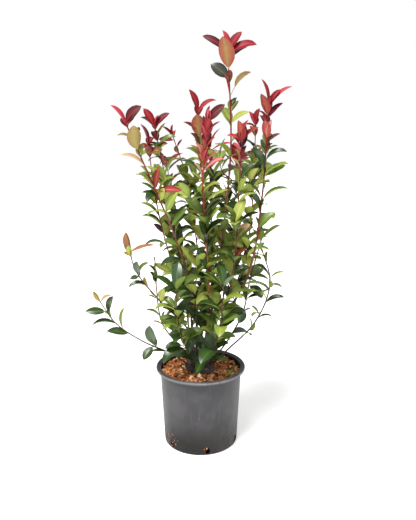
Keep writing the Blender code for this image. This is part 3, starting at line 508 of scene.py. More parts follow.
def mulch_body():
    """The root ball: from the floor up the wall, then over the swell to the axis."""
    foot = wall_radius(FLOOR) - WALL - SOIL_GAP - BALL_ROUND
    radius = np.concatenate([[0, foot], np.linspace(MULCH_RADIUS, 0, BALL_RINGS)])
    bearing = np.linspace(0, math.tau, BALL_AROUND, endpoint=False)
    x = radius[:, None] * np.cos(bearing)
    y = radius[:, None] * np.sin(bearing)
    z = swell(x, y)
    z[:2] = FLOOR + BALL_SEAT
    points = np.stack([x, y, z], axis=-1).reshape(-1, 3)
    points, faces = merged_poles(points, grid_faces(len(radius), BALL_AROUND, True))
    return surface("root_ball", points, faces, [compost])


root_ball = mulch_body()
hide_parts("soil")

# %% The bark chips
CHIP_COUNT = 2400
CHIP_FACES = np.array([(0, 3, 2, 1), (4, 5, 6, 7), (0, 1, 5, 4), (1, 2, 6, 5), (2, 3, 7, 6), (3, 0, 4, 7)])
CHIP_TINTS = {
    "chip_tan": (rgb(206, 140, 86), 0.28),
    "chip_orange": (rgb(182, 98, 46), 0.32),
    "chip_brown": (rgb(126, 66, 34), 0.20),
    "chip_straw": (rgb(238, 204, 158), 0.12),
    "chip_dark": (rgb(48, 30, 22), 0.08),
}
CHIP_SEED = 7
CHIP_REACH = 0.965
CHIP_SHORTEST = 0.0050
CHIP_LONGER = 0.0140
CHIP_TILT = 0.42
CHIP_SHARP = 20


def chip_finish(name, colour):
    """Broken bark: its own tint, streaked by fine fibres, rough, with the fibres as relief."""
    finish = Finish(name, Roughness=0.85)
    fibre = finish.noise(0.0018, 4.0, (1, 1, 2.5))
    finish.set("Base Color", finish.mix(fibre.above(0.30, 0.70), shaded(colour, 0.55), shaded(colour, 1.35)))
    finish.bump(fibre, 0.0006)
    return finish


def turned_boxes(place, size, turn, tilt, skew):
    """The corners (n, 8, 3) of boxes of these sizes at these places, turned about Z and then tilted about
    the length's own direction across, each corner moved by its share of skew."""
    corner = np.array([(-1, -1, -1), (1, -1, -1), (1, 1, -1), (-1, 1, -1)] * 2, float)
    corner[4:, 2] = 1
    local = (corner[None] * (1 + skew)) * size[:, None] / 2
    long = np.stack([np.cos(turn) * np.cos(tilt), np.sin(turn) * np.cos(tilt), np.sin(tilt)], axis=1)
    across = np.stack([-np.sin(turn), np.cos(turn), 0 * turn], axis=1)
    up = np.cross(long, across)
    axes = np.stack([long, across, up], axis=1)
    return place[:, None] + np.einsum("nck,nkd->ncd", local, axes)


def box_faces(count):
    """The corners of the faces of so many boxes, six faces each."""
    return (np.arange(count)[:, None, None] * 8 + CHIP_FACES).reshape(-1, 4).tolist()


def bark_chips():
    """Chips strewn evenly over the mulch, long ones few and splinters many, most lying nearly flat."""
    rng = np.random.default_rng(CHIP_SEED)
    radius = MULCH_RADIUS * CHIP_REACH * np.sqrt(rng.uniform(0.06, 1, CHIP_COUNT))
    bearing = rng.uniform(0, math.tau, CHIP_COUNT)
    x, y = radius * np.cos(bearing), radius * np.sin(bearing)
    length = CHIP_SHORTEST + CHIP_LONGER * rng.uniform(0, 1, CHIP_COUNT) ** 2.2
    size = np.stack([length, length * rng.uniform(0.30, 0.65, CHIP_COUNT), 0.0012 + 0.10 * length], axis=1)
    tilt = rng.normal(0, CHIP_TILT, CHIP_COUNT)
    lift = 0.0010 + 0.28 * length * np.abs(np.sin(tilt)) + rng.uniform(0, 0.0032, CHIP_COUNT)
    lift = lift * np.clip((MULCH_RADIUS - radius) / 0.010, 0.3, 1)
    place = np.stack([x, y, swell(x, y) + lift], axis=1)
    inward = np.clip((radius + length / 2 - MULCH_RADIUS) / np.maximum(radius, 0.01), 0, 1)
    place[:, :2] *= 1 - inward[:, None]
    turn = rng.uniform(0, math.tau, CHIP_COUNT)
    skew = rng.uniform(-0.32, 0.22, (CHIP_COUNT, 8, 3))
    corners = turned_boxes(place, size, turn, tilt, skew)
    shares = np.cumsum([share for _, share in CHIP_TINTS.values()])
    tint = np.searchsorted(shares / shares[-1], rng.uniform(0, 1, CHIP_COUNT))
    finishes = [chip_finish(name, colour) for name, (colour, _) in CHIP_TINTS.items()]
    tints = np.repeat(tint, len(CHIP_FACES))
    return surface("bark_chips", corners, box_faces(CHIP_COUNT), finishes, tints, sharp_over=CHIP_SHARP)


chips = bark_chips()
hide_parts("soil")

# %% [markdown]
# ## Grains on the wall
# When the pot was filled and watered, a few crumbs of bark and grit stuck to the outside of its wall, most of
# them low down. They could be painted on as dots, but real ones stand out and cast small shadows. So they are
# flat boxes like the chips, strewn about a few middles and laid against the cone of the wall.

# %% Grains on the wall
# Each scatter of grains that stick to the pot: its bearing and height, how far it spreads round the pot in
# degrees and up it in metres, how many grains there are, and how long they are.
SCATTERS = [
    (-146, 0.046, 7, 0.012, 9, 0.0026),
    (-141, 0.022, 4, 0.010, 8, 0.0034),
    (-131, 0.030, 5, 0.010, 4, 0.0022),
    (-82, 0.020, 2, 0.004, 3, 0.0050),
    (-26, 0.016, 7, 0.008, 7, 0.0026),
    (-92, 0.128, 1, 0.002, 1, 0.0030),
]
GRAIN_SEED = 11
GRAIN_TINTS = ("chip_tan", "chip_orange", "chip_brown")
GRAIN_LOWEST = 0.004
GRAIN_SEAT = 0.0004
GRAIN_THICK = 0.0011


def wall_grains():
    """Flat grains just off the wall's cone, turned to lie along it: x, y = radius times (cos, sin) of the
    bearing, the bearings and heights normally spread about each scatter's middle."""
    rng = np.random.default_rng(GRAIN_SEED)
    rows = np.concatenate([np.repeat([row], int(row[4]), axis=0) for row in SCATTERS])
    bearing = np.radians(rows[:, 0] + rows[:, 2] * rng.normal(size=len(rows)))
    height = np.maximum(rows[:, 1] + rows[:, 3] * rng.normal(size=len(rows)), GRAIN_LOWEST)
    length = rows[:, 5] * rng.uniform(0.6, 1.2, len(rows))
    out = wall_radius(height) + GRAIN_SEAT
    place = np.stack([out * np.cos(bearing), out * np.sin(bearing), height], axis=1)
    size = np.stack([GRAIN_THICK + 0 * length, length * rng.uniform(0.5, 0.9, len(rows)), length], axis=1)
    corners = turned_boxes(place, size, bearing, 0 * bearing, rng.uniform(-0.3, 0.2, (len(rows), 8, 3)))
    finishes = [chip_finish(f"grain_{name}", CHIP_TINTS[name][0]) for name in GRAIN_TINTS]
    tints = np.repeat(rng.integers(0, len(GRAIN_TINTS), len(rows)), len(CHIP_FACES))
    return surface("wall_grains", corners, box_faces(len(rows)), finishes, tints, sharp_over=CHIP_SHARP)


grains = wall_grains()
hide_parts("pot")

# %% [markdown]
# ## How the shrub grows
# Each stem is a smooth curve through a few named points. Up it the leaves come one to a node, each a golden
# turn round from the last, so that none lies right above another. They leave it at a slant and then arch
# over. The latest growth ends in a rosette that closes upwards. The draws from each seed come in one fixed
# order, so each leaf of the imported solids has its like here, in the same place. The solids leave out the
# leaves and twigs that would touch a neighbour, about a quarter of all. Here they are kept, because the real
# crown is as full as that, and so some leaves pass through each other.

# %% The rule's sizes
INNER_RING = (0.015, 0.036)
OUTER_RING = (0.033, 0.020)
LIMB_PIECE = 0.032
LIMB_FLAT = 0.88
GAP = 0.0003
GOLDEN_TURN = 137.5
TURN_STRAY = 18
INTERNODE = 0.030
OLD_HOLD = dict(lean=(32, 54), length=(0.076, 0.098), bend=(0.9, 1.7), roll=(-0.25, 0.25))
YOUNG_HOLD = dict(lean=(28, 50), length=(0.060, 0.084), bend=(0.5, 1.2), roll=(-0.30, 0.30))
ROSETTE_HOLD = dict(lean=(37, 55), length=(0.074, 0.096), bend=(0.3, 1.0), roll=(-0.25, 0.25))
LEAN_LOST = 8
LENGTH_LOST = 0.12
ROSETTE_CLOSING = 34
ROSETTE_SHORTENING = 0.30
ROSETTE_DEPTH = 0.018
GREEN_TIP = 0.030
TWIG_LENGTH = (0.06, 0.10)
TWIG_THICK = (0.0032, 0.0020)
TWIG_PIECES = [(0.28, 0.35), (0.50, 0.16)]
TWIG_ROSETTE = 3

# %% The stems
# Each stem: the bearing of its foot on the crown in degrees (0 is +X, 90 is +Y) and its ring, or the stem
# it forks from and how far up; the points that it passes through to its tip; its foot and tip diameter;
# the share of its length where leaves begin, and the share where its old leaves end and its newest growth
# begins (None just below the tip); how far apart its old leaves are, where not an internode; how many side
# twigs it bears and the seed of its growth. A tip that isn't set leaf by leaf grows a rosette of so many
# leaves, from a seed of its own. The points of the stems that the picture shows were found through the
# camera. The seeds are those whose leaves, of a hundred or more tries each, best filled the plant's outline
# in the picture.
STEMS = {
    "leader": dict(
        foot=(62, INNER_RING),
        through=[
            (0.030, 0.012, 0.395), (0.068, 0.030, 0.660),
            (0.090, 0.016, 0.920), (0.079, -0.005, 1.190),
        ],
        thick=(0.0095, 0.0036), leaves=0.12, flush=0.80, apart=0.040, twigs=2, seed=18,
    ),
    "centre": dict(
        foot=(278, INNER_RING),
        through=[
            (0.023, -0.040, 0.413), (0.020, -0.068, 0.620),
            (0.008, -0.080, 0.840), (0.020, -0.078, 1.000),
        ],
        thick=(0.0095, 0.0036), leaves=0.11, flush=0.80, apart=0.060, twigs=2, seed=50,
    ),
    "left": dict(
        foot=(206, INNER_RING),
        through=[
            (-0.014, -0.030, 0.430), (-0.057, -0.050, 0.626),
            (-0.130, -0.060, 0.815), (-0.207, -0.060, 0.998),
        ],
        thick=(0.0105, 0.0034), leaves=0.16, flush=0.83, apart=0.060, twigs=2, seed=9,
    ),
    "right": dict(
        foot=(350, INNER_RING),
        through=[
            (0.075, -0.025, 0.410), (0.147, -0.050, 0.577),
            (0.178, -0.050, 0.790), (0.190, -0.050, 1.040),
        ],
        thick=(0.0100, 0.0034), leaves=0.17, flush=0.84, apart=0.060, twigs=2, seed=51,
    ),
    "inner": dict(
        foot=(134, INNER_RING),
        through=[
            (0.024, 0.047, 0.470), (0.022, 0.060, 0.660),
            (0.000, 0.060, 0.900), (-0.006, 0.060, 1.030),
        ],
        thick=(0.0080, 0.0032), leaves=0.16, flush=0.86, twigs=2, seed=65,
    ),
    "left_second": dict(
        foot=(160, OUTER_RING),
        through=[
            (-0.050, 0.034, 0.460), (-0.100, 0.050, 0.610),
            (-0.135, 0.050, 0.770), (-0.154, 0.050, 0.935),
        ],
        thick=(0.0070, 0.0030), leaves=0.15, flush=0.90, apart=0.060, twigs=2, seed=18,
    ),
    "left_third": dict(
        foot=(140, OUTER_RING),
        through=[
            (-0.036, 0.062, 0.478), (-0.068, 0.085, 0.660),
            (-0.108, 0.090, 0.838), (-0.138, 0.090, 0.985),
        ],
        thick=(0.0070, 0.0030), leaves=0.16, flush=0.90, twigs=2, seed=43,
    ),
    "rear": dict(
        foot=(100, OUTER_RING),
        through=[
            (0.003, 0.085, 0.472), (-0.014, 0.115, 0.640),
            (-0.045, 0.140, 0.833), (-0.085, 0.140, 0.955),
        ],
        thick=(0.0068, 0.0028), leaves=0.14, flush=0.90, twigs=2, seed=35,
    ),
    "right_second": dict(
        foot=(325, OUTER_RING),
        through=[
            (0.062, -0.044, 0.390), (0.099, -0.060, 0.589),
            (0.110, -0.070, 0.810), (0.116, -0.070, 0.945),
        ],
        thick=(0.0072, 0.0030), leaves=0.15, flush=0.88, apart=0.060, twigs=2, seed=80,
    ),
    "right_third": dict(
        foot=(44, OUTER_RING),
        through=[
            (0.079, 0.070, 0.408), (0.140, 0.098, 0.560),
            (0.166, 0.110, 0.773), (0.170, 0.110, 0.990),
        ],
        thick=(0.0070, 0.0028), leaves=0.18, flush=0.93, twigs=2, seed=48,
    ),
    "outer_right": dict(
        foot=(0, OUTER_RING),
        through=[
            (0.086, 0.000, 0.302), (0.165, 0.010, 0.380),
            (0.214, 0.010, 0.517), (0.180, 0.010, 0.640),
        ],
        thick=(0.0064, 0.0036), leaves=0.22, flush=0.23, twigs=0, seed=1,
    ),
    "low_right": dict(
        foot=(22, OUTER_RING),
        through=[
            (0.094, 0.050, 0.323), (0.134, 0.080, 0.387),
            (0.160, 0.100, 0.500), (0.198, 0.110, 0.640),
        ],
        thick=(0.0064, 0.0036), leaves=0.18, flush=None, rosette=4, apart=0.060, twigs=1, seed=298,
        tip_seed=134,
    ),
    "outer_left": dict(
        fork=("left", 0.10),
        through=[
            (-0.053, -0.060, 0.410), (-0.125, -0.090, 0.497),
            (-0.190, -0.108, 0.600), (-0.200, -0.110, 0.650),
        ],
        thick=(0.0062, 0.0036), leaves=0.06, flush=0.07, twigs=0, seed=1,
    ),
    "low_left": dict(
        foot=(200, OUTER_RING),
        through=[
            (-0.081, -0.004, 0.283), (-0.183, 0.000, 0.331),
            (-0.265, 0.000, 0.392), (-0.310, 0.000, 0.462),
        ],
        thick=(0.0064, 0.0036), leaves=0.22, flush=0.23, twigs=0, seed=1,
    ),
    "low_rear_left": dict(
        foot=(180, OUTER_RING),
        through=[
            (-0.072, 0.036, 0.301), (-0.122, 0.075, 0.358),
            (-0.141, 0.090, 0.470), (-0.145, 0.092, 0.580),
        ],
        thick=(0.0062, 0.0036), leaves=0.24, flush=0.25, twigs=0, seed=1,
    ),
    "back_left": dict(
        foot=(120, OUTER_RING),
        through=[(-0.036, 0.102, 0.420), (-0.085, 0.160, 0.640), (-0.105, 0.182, 0.860)],
        thick=(0.0068, 0.0028), leaves=0.15, flush=0.88, rosette=5, twigs=1, seed=80, tip_seed=3,
    ),
    "back": dict(
        foot=(82, OUTER_RING),
        through=[(0.032, 0.112, 0.420), (0.038, 0.172, 0.640), (0.030, 0.190, 0.920)],
        thick=(0.0068, 0.0028), leaves=0.15, flush=0.88, rosette=5, twigs=1, seed=55, tip_seed=56,
    ),
    "back_right": dict(
        foot=(63, OUTER_RING),
        through=[(0.080, 0.122, 0.460), (0.108, 0.162, 0.660), (0.115, 0.178, 0.870)],
        thick=(0.0068, 0.0028), leaves=0.17, flush=0.88, rosette=5, twigs=2, seed=12, tip_seed=10,
    ),
    "front_left": dict(
        foot=(236, OUTER_RING),
        through=[(-0.048, -0.078, 0.350), (-0.066, -0.108, 0.440), (-0.070, -0.118, 0.540)],
        thick=(0.0054, 0.0026), leaves=0.16, flush=None, rosette=3, twigs=0, seed=80, tip_seed=300,
    ),
    "front_right": dict(
        foot=(298, OUTER_RING),
        through=[(0.042, -0.084, 0.350), (0.060, -0.112, 0.440), (0.066, -0.120, 0.550)],
        thick=(0.0054, 0.0026), leaves=0.16, flush=None, rosette=3, twigs=1, seed=44, tip_seed=211,
    ),
    "foot_sprig": dict(
        foot=(266, OUTER_RING),
        through=[(0.002, -0.060, 0.290), (0.012, -0.082, 0.300)],
        thick=(0.0036, 0.0024), leaves=0.0, flush=None, rosette=4, twigs=0, seed=17, tip_seed=120,
    ),
}
print("stems:", len(STEMS))

# %% The leaves that are set
# Leaves that are set one by one, at the tips and wherever else single leaves stand out: how far down the stem
# from its tip each one springs; the clock angle of its line from straight up, to the right as seen from the
# front; how far that line leans to the front; how far its upper face turns to the front; its length; its
# bend; its width to its length; its tint; and its stalk's share of its length, where that isn't the usual
# one. In a little over half of the rows the place, the clock angle and the length were worked out through the
# camera from where the leaf's foot and tip lie in the picture. The others were given.
STALK_END = 0.09
SET_LEAVES = {
    "leader": [
        (0.003, -60, -12, 55, 0.090, 1.2, 0.25, "wine"), (0.003, -18, -8, 15, 0.062, 0.5, 0.36, "pink"),
        (0.003, 38, -4, 45, 0.068, 0.8, 0.40, "red"), (0.006, 82, -6, 45, 0.090, 1.4, 0.30, "red"),
        (0.052, -14, 30, 0, 0.100, 0.4, 0.50, "bronze"), (0.026, 58, -15, 12, 0.068, 0.6, 0.40, "dusk"),
        (0.072, -55, -10, 60, 0.066, 0.6, 0.56, "slate"),
        (0.146, -14, 12, 35, 0.092, 0.3, 0.40, "pink", 0.22),
        (0.124, 44, 0, 20, 0.094, 0.9, 0.30, "olive", 0.34), (0.153, 33, 0, 40, 0.034, 0.4, 0.50, "deep"),
        (0.200, 60, 15, 35, 0.068, 1.2, 0.40, "lime"), (0.215, -32, 20, 40, 0.046, 0.8, 0.50, "fresh"),
        (0.018, 20, -60, 0, 0.062, 0.6, 0.45, "red"), (0.090, -15, -58, 0, 0.066, 0.8, 0.45, "bronze"),
        (0.170, 35, -55, 0, 0.064, 1.0, 0.45, "fresh"), (0.415, -20, 22, 20, 0.058, 0.4, 0.45, "salmon"),
    ],
    "centre": [
        (0.003, 48, 0, 60, 0.070, 0.8, 0.36, "wine"), (0.003, 12, 0, 40, 0.046, 0.3, 0.36, "maroon"),
        (0.008, 2, 15, 30, 0.044, 0.4, 0.50, "pink"), (0.048, 8, 22, 0, 0.062, 0.4, 0.54, "red"),
        (0.036, 52, 10, 25, 0.054, 0.5, 0.34, "red"), (0.046, -27, 20, 20, 0.056, 0.5, 0.30, "pink"),
        (0.115, -25, 5, 45, 0.064, 0.6, 0.32, "salmon"), (0.112, 15, 25, 20, 0.044, 0.4, 0.42, "pink"),
        (0.108, 30, 5, 40, 0.050, 0.4, 0.30, "pink"), (0.128, 42, 10, 20, 0.066, 0.6, 0.32, "salmon"),
        (0.138, 62, 15, 30, 0.074, 1.0, 0.34, "salmon"), (0.158, -35, 10, 25, 0.054, 0.6, 0.32, "cream"),
        (0.088, -8, 32, 10, 0.050, 0.5, 0.28, "rust"), (0.082, 38, 15, 30, 0.052, 0.5, 0.30, "rust"),
        (0.098, -52, 5, 40, 0.052, 0.6, 0.26, "olive"), (0.020, -10, -60, 0, 0.056, 0.6, 0.45, "red"),
        (0.070, 20, -55, 0, 0.060, 0.8, 0.45, "maroon"), (0.125, -20, -58, 0, 0.062, 1.0, 0.45, "bronze"),
        (0.172, -50, 5, 20, 0.050, 1.0, 0.30, "lime"), (0.234, -41, 10, 20, 0.066, 0.8, 0.34, "deep"),
        (0.259, -52, 15, 50, 0.079, 0.6, 0.42, "green"), (0.196, 76, 10, 7, 0.060, 1.3, 0.30, "lime"),
        (0.229, 62, 15, 17, 0.087, 0.6, 0.28, "fresh"), (0.270, 47, 10, 24, 0.082, 0.7, 0.34, "deep"),
        (0.299, 34, 20, 45, 0.085, 0.6, 0.38, "fresh"), (0.325, 49, 10, 17, 0.078, 0.8, 0.34, "deep"),
        (0.307, -58, 5, 10, 0.077, 1.3, 0.28, "fresh"), (0.353, -21, 20, 58, 0.091, 0.5, 0.44, "deep"),
        (0.386, 22, 20, 52, 0.079, 0.5, 0.46, "deep"), (0.429, -25, 20, 55, 0.081, 0.5, 0.50, "sage"),
        (0.475, 8, 0, 12, 0.073, 0.5, 0.28, "green"), (0.494, -131, 25, 55, 0.057, 0.5, 0.50, "lime"),
        (0.516, 88, 10, 12, 0.044, 1.5, 0.36, "lime"), (0.468, 91, 10, 24, 0.058, 0.9, 0.42, "green"),
        (0.594, 86, 15, 22, 0.048, 1.0, 0.40, "deep"), (0.585, -71, 10, 45, 0.053, 0.8, 0.44, "deep"),
    ],
    "left": [
        (0.008, -42, 0, 18, 0.068, 0.4, 0.36, "pink"), (0.005, 47, 5, 60, 0.070, 1.2, 0.46, "wine"),
        (0.006, 45, 20, 20, 0.044, 0.5, 0.36, "pink"), (0.010, 50, 25, 40, 0.036, 0.4, 0.50, "rust"),
        (0.086, -6, 22, 0, 0.076, 0.4, 0.56, "blush"), (0.050, -85, 5, 20, 0.046, 1.0, 0.36, "olive"),
        (0.130, -68, 5, 25, 0.074, 0.9, 0.34, "cream"), (0.020, -20, -60, 0, 0.060, 0.6, 0.45, "red"),
        (0.060, 30, -55, 0, 0.060, 0.8, 0.45, "maroon"), (0.110, 10, -58, 0, 0.064, 1.0, 0.45, "fresh"),
        (0.159, -42, 10, 45, 0.036, 0.5, 0.42, "fresh"), (0.174, -55, 0, 12, 0.030, 0.6, 0.36, "deep"),
        (0.203, -59, 5, 12, 0.051, 1.2, 0.26, "lime"), (0.216, -63, 0, 20, 0.058, 0.8, 0.30, "green"),
        (0.243, -69, 5, 22, 0.065, 1.1, 0.38, "deep"), (0.205, 13, 15, 62, 0.074, 0.4, 0.42, "rust"),
        (0.205, 91, 10, 45, 0.079, 0.5, 0.28, "coral"), (0.240, 21, 20, 58, 0.046, 0.4, 0.58, "lime"),
        (0.276, 35, 15, 55, 0.079, 0.6, 0.42, "fresh"), (0.311, -24, 15, 50, 0.049, 0.6, 0.46, "deep"),
        (0.320, 43, 10, 48, 0.079, 0.6, 0.34, "green"), (0.359, 10, 15, 22, 0.055, 0.5, 0.38, "fresh"),
        (0.401, -2, -25, 20, 0.072, 0.8, 0.36, "deep"), (0.505, -85, 5, 12, 0.099, 1.5, 0.30, "fresh"),
        (0.470, -60, 15, 45, 0.061, 0.6, 0.44, "sage"), (0.524, -71, 15, 50, 0.078, 0.8, 0.46, "deep"),
        (0.464, 13, 10, 17, 0.054, 0.4, 0.34, "deep"), (0.382, -68, 10, 45, 0.053, 0.8, 0.42, "green"),
        (0.415, 58, 10, 45, 0.064, 0.8, 0.40, "green"), (0.618, -49, 10, 45, 0.068, 0.8, 0.42, "deep"),
    ],
    "right": [
        (0.003, -18, 5, 30, 0.080, 0.5, 0.30, "red"), (0.003, 38, 0, 35, 0.060, 0.6, 0.32, "red"),
        (0.004, 54, 5, 28, 0.088, 0.7, 0.27, "pink"), (0.028, -22, 22, 0, 0.070, 0.4, 0.50, "rust"),
        (0.026, 3, 20, 10, 0.056, 0.4, 0.44, "red"), (0.034, 46, 0, 40, 0.062, 0.6, 0.34, "maroon"),
        (0.036, -50, -5, 30, 0.036, 0.6, 0.36, "maroon"), (0.092, -8, 15, 0, 0.058, 0.3, 0.48, "rust"),
        (0.088, 14, 15, 0, 0.056, 0.3, 0.38, "salmon"), (0.095, 6, -5, 30, 0.038, 0.3, 0.36, "red"),
        (0.100, 60, 0, 40, 0.048, 0.8, 0.34, "wine"), (0.120, 45, 0, 30, 0.028, 0.4, 0.34, "brown"),
        (0.015, 0, -60, 0, 0.058, 0.6, 0.45, "red"), (0.060, -25, -55, 0, 0.060, 0.8, 0.45, "maroon"),
        (0.110, 20, -55, 0, 0.060, 0.9, 0.45, "fresh"), (0.128, -59, 10, 12, 0.041, 0.6, 0.36, "olive"),
        (0.128, 65, 5, 12, 0.042, 1.0, 0.38, "green"), (0.171, -40, 10, 55, 0.075, 1.0, 0.42, "deep"),
        (0.150, 72, 5, 18, 0.071, 1.3, 0.36, "deep"), (0.195, 63, 5, 48, 0.072, 1.1, 0.40, "green"),
        (0.193, -16, -5, 17, 0.044, 0.5, 0.36, "deep"), (0.237, -35, 15, 22, 0.060, 1.6, 0.40, "lime"),
        (0.263, 72, 5, 8, 0.088, 1.1, 0.26, "green"), (0.304, 16, 5, 45, 0.049, 0.5, 0.40, "deep"),
        (0.292, -37, 10, 48, 0.076, 0.8, 0.38, "deep"), (0.296, -114, 10, 22, 0.063, 0.6, 0.30, "deep"),
        (0.346, 50, 5, 46, 0.074, 1.2, 0.42, "green"), (0.378, 23, 10, 45, 0.036, 0.4, 0.40, "coral"),
    ],
    "inner": [
        (0.003, -24, 5, 55, 0.070, 0.6, 0.42, "red"), (0.006, 64, 0, 40, 0.070, 1.3, 0.36, "red"),
        (0.080, -5, 20, 0, 0.074, 0.4, 0.56, "bronze"), (0.098, -42, 15, 50, 0.046, 0.9, 0.55, "brown"),
        (0.060, -62, -5, 30, 0.054, 0.5, 0.34, "maroon"), (0.020, 10, -60, 0, 0.058, 0.6, 0.45, "red"),
        (0.060, 40, -50, 0, 0.060, 0.8, 0.45, "rust"), (0.110, -15, -55, 0, 0.062, 1.0, 0.45, "fresh"),
    ],
    "left_second": [
        (0.003, -24, 0, 18, 0.064, 0.5, 0.36, "maroon"), (0.003, -125, 15, 60, 0.046, 2.0, 0.45, "rust"),
        (0.038, -20, 35, 20, 0.046, 0.6, 0.60, "brown"), (0.020, 15, 40, 30, 0.034, 0.5, 0.50, "red"),
        (0.030, 25, 40, 20, 0.038, 0.5, 0.50, "pink"), (0.032, 80, 10, 50, 0.044, 2.0, 0.50, "bronze"),
        (0.010, 20, -60, 0, 0.054, 0.6, 0.45, "red"), (0.045, -10, -58, 0, 0.056, 0.8, 0.45, "olive"),
        (0.224, -56, 5, 14, 0.077, 1.0, 0.32, "fresh"), (0.248, -67, 5, 18, 0.069, 1.1, 0.36, "deep"),
        (0.275, -46, 10, 50, 0.044, 0.4, 0.54, "dusk"),
    ],
    "left_third": [
        (0.003, -33, 0, 50, 0.064, 0.6, 0.40, "red"), (0.004, 25, 10, 30, 0.040, 0.5, 0.44, "pink"),
        (0.004, 52, 0, 45, 0.064, 0.7, 0.38, "maroon"), (0.006, -56, -5, 15, 0.054, 0.6, 0.36, "dusk"),
        (0.035, 35, 0, 12, 0.052, 0.4, 0.32, "olive"), (0.070, 70, 10, 50, 0.040, 2.0, 0.50, "bronze"),
        (0.015, 10, -60, 0, 0.056, 0.6, 0.45, "red"), (0.050, -30, -55, 0, 0.056, 0.8, 0.45, "maroon"),
    ],
    "rear": [
        (0.003, 2, 5, 40, 0.038, 0.3, 0.42, "red"), (0.003, -50, 0, 30, 0.046, 0.5, 0.34, "maroon"),
        (0.016, -88, 0, 45, 0.050, 0.5, 0.36, "red"), (0.040, 35, 0, 30, 0.032, 0.4, 0.34, "maroon"),
        (0.010, 5, -60, 0, 0.044, 0.6, 0.45, "red"), (0.060, -30, -50, 20, 0.040, 0.6, 0.40, "olive"),
    ],
    "right_second": [
        (0.003, -12, 15, 0, 0.064, 0.4, 0.54, "rust"), (0.003, 18, 10, 25, 0.066, 0.4, 0.40, "pink"),
        (0.003, 6, -10, 35, 0.056, 0.4, 0.36, "red"), (0.008, -68, 15, 22, 0.056, 1.6, 0.32, "pink"),
        (0.025, -35, 10, 22, 0.060, 0.5, 0.32, "rust"), (0.004, 52, 10, 28, 0.066, 0.8, 0.32, "red"),
        (0.048, 25, -10, 30, 0.042, 0.5, 0.36, "maroon"), (0.024, 20, -15, 18, 0.056, 0.3, 0.34, "dusk"),
        (0.072, -48, 10, 30, 0.038, 0.6, 0.40, "cream"), (0.010, 0, -60, 0, 0.056, 0.6, 0.45, "red"),
        (0.055, -25, -55, 0, 0.058, 0.8, 0.45, "bronze"), (0.300, 18, 15, 50, 0.063, 0.5, 0.44, "green"),
        (0.379, 73, 10, 48, 0.054, 0.9, 0.46, "deep"), (0.347, -41, 15, 50, 0.045, 0.6, 0.50, "sage"),
        (0.257, 60, 10, 50, 0.047, 0.6, 0.46, "cream"), (0.335, 52, -10, 22, 0.042, 0.5, 0.40, "rust"),
        (0.107, 49, 10, 48, 0.070, 0.8, 0.38, "deep"), (0.158, 23, 15, 55, 0.073, 0.6, 0.42, "fresh"),
        (0.183, -17, 15, 45, 0.057, 0.5, 0.36, "sage"), (0.187, 48, 20, 50, 0.034, 0.4, 0.60, "salmon"),
    ],
    "right_third": [
        (0.004, -28, 0, 50, 0.048, 0.5, 0.52, "pink"), (0.004, 16, 0, 45, 0.054, 0.8, 0.46, "red"),
        (0.006, -85, -5, 30, 0.034, 0.5, 0.36, "maroon"), (0.008, 10, -60, 0, 0.046, 0.6, 0.45, "red"),
        (0.040, -20, -50, 0, 0.050, 0.8, 0.45, "bronze"),
    ],
    "low_left": [
        (0.006, 59, 10, 22, 0.046, 0.9, 0.46, "cream", 0.01), (0.007, -29, 5, 12, 0.044, 0.4, 0.30, "olive"),
        (0.041, -88, 5, 50, 0.066, 0.4, 0.38, "shade"), (0.044, 23, 15, 55, 0.066, 0.4, 0.50, "deep"),
        (0.057, -51, 20, 12, 0.034, 0.4, 0.50, "fresh"), (0.071, -2, 0, 15, 0.063, 0.5, 0.36, "deep"),
        (0.089, -101, 5, 12, 0.081, 1.2, 0.38, "deep"), (0.118, 8, 5, 22, 0.078, 0.8, 0.28, "fresh"),
        (0.140, -80, 15, 60, 0.073, 0.5, 0.48, "deep"), (0.224, -144, 25, 65, 0.053, 0.5, 0.62, "shade"),
        (0.236, -9, 15, 60, 0.091, 0.6, 0.50, "deep"), (0.276, -82, 15, 45, 0.057, 0.5, 0.42, "deep"),
    ],
    "outer_left": [
        (0.011, 75, 5, 22, 0.077, 0.5, 0.27, "copper", 0.01),
        (0.016, -9, 5, 22, 0.066, 0.4, 0.34, "copper", 0.02),
        (0.024, -62, 10, 22, 0.026, 0.5, 0.55, "olive"), (0.028, -10, 15, 20, 0.042, 0.4, 0.40, "fresh"),
        (0.085, 46, 0, 20, 0.055, 1.5, 0.38, "green"), (0.087, -102, 20, 50, 0.028, 0.4, 0.55, "deep"),
        (0.088, -1, 20, 60, 0.055, 0.5, 0.58, "deep"), (0.125, -98, 5, 4, 0.057, 1.5, 0.38, "deep"),
        (0.133, -12, 15, 50, 0.042, 0.5, 0.42, "olive"), (0.168, -31, 15, 20, 0.038, 0.4, 0.32, "fresh"),
        (0.186, 20, 20, 55, 0.050, 0.4, 0.50, "lime"), (0.231, -54, 15, 22, 0.045, 0.8, 0.40, "green"),
        (0.295, -74, 15, 50, 0.065, 0.6, 0.46, "deep"), (0.326, -100, 15, 50, 0.065, 0.6, 0.42, "deep"),
    ],
    "low_rear_left": [
        (0.015, 2, 5, 12, 0.016, 0.3, 0.36, "pink"), (0.044, 8, 20, 50, 0.028, 0.4, 0.60, "lime"),
        (0.087, 6, 20, 45, 0.053, 0.6, 0.44, "green"), (0.090, -26, 15, 45, 0.051, 0.8, 0.46, "deep"),
        (0.091, -26, 5, 18, 0.074, 1.2, 0.34, "deep"), (0.143, -62, 20, 22, 0.041, 0.6, 0.40, "green"),
        (0.163, 56, 10, 22, 0.041, 0.8, 0.42, "green"), (0.198, -70, 0, 4, 0.054, 1.0, 0.32, "deep"),
        (0.219, 18, 10, 45, 0.044, 0.5, 0.42, "deep"), (0.228, -77, 5, 4, 0.041, 0.8, 0.28, "olive"),
    ],
    "outer_right": [
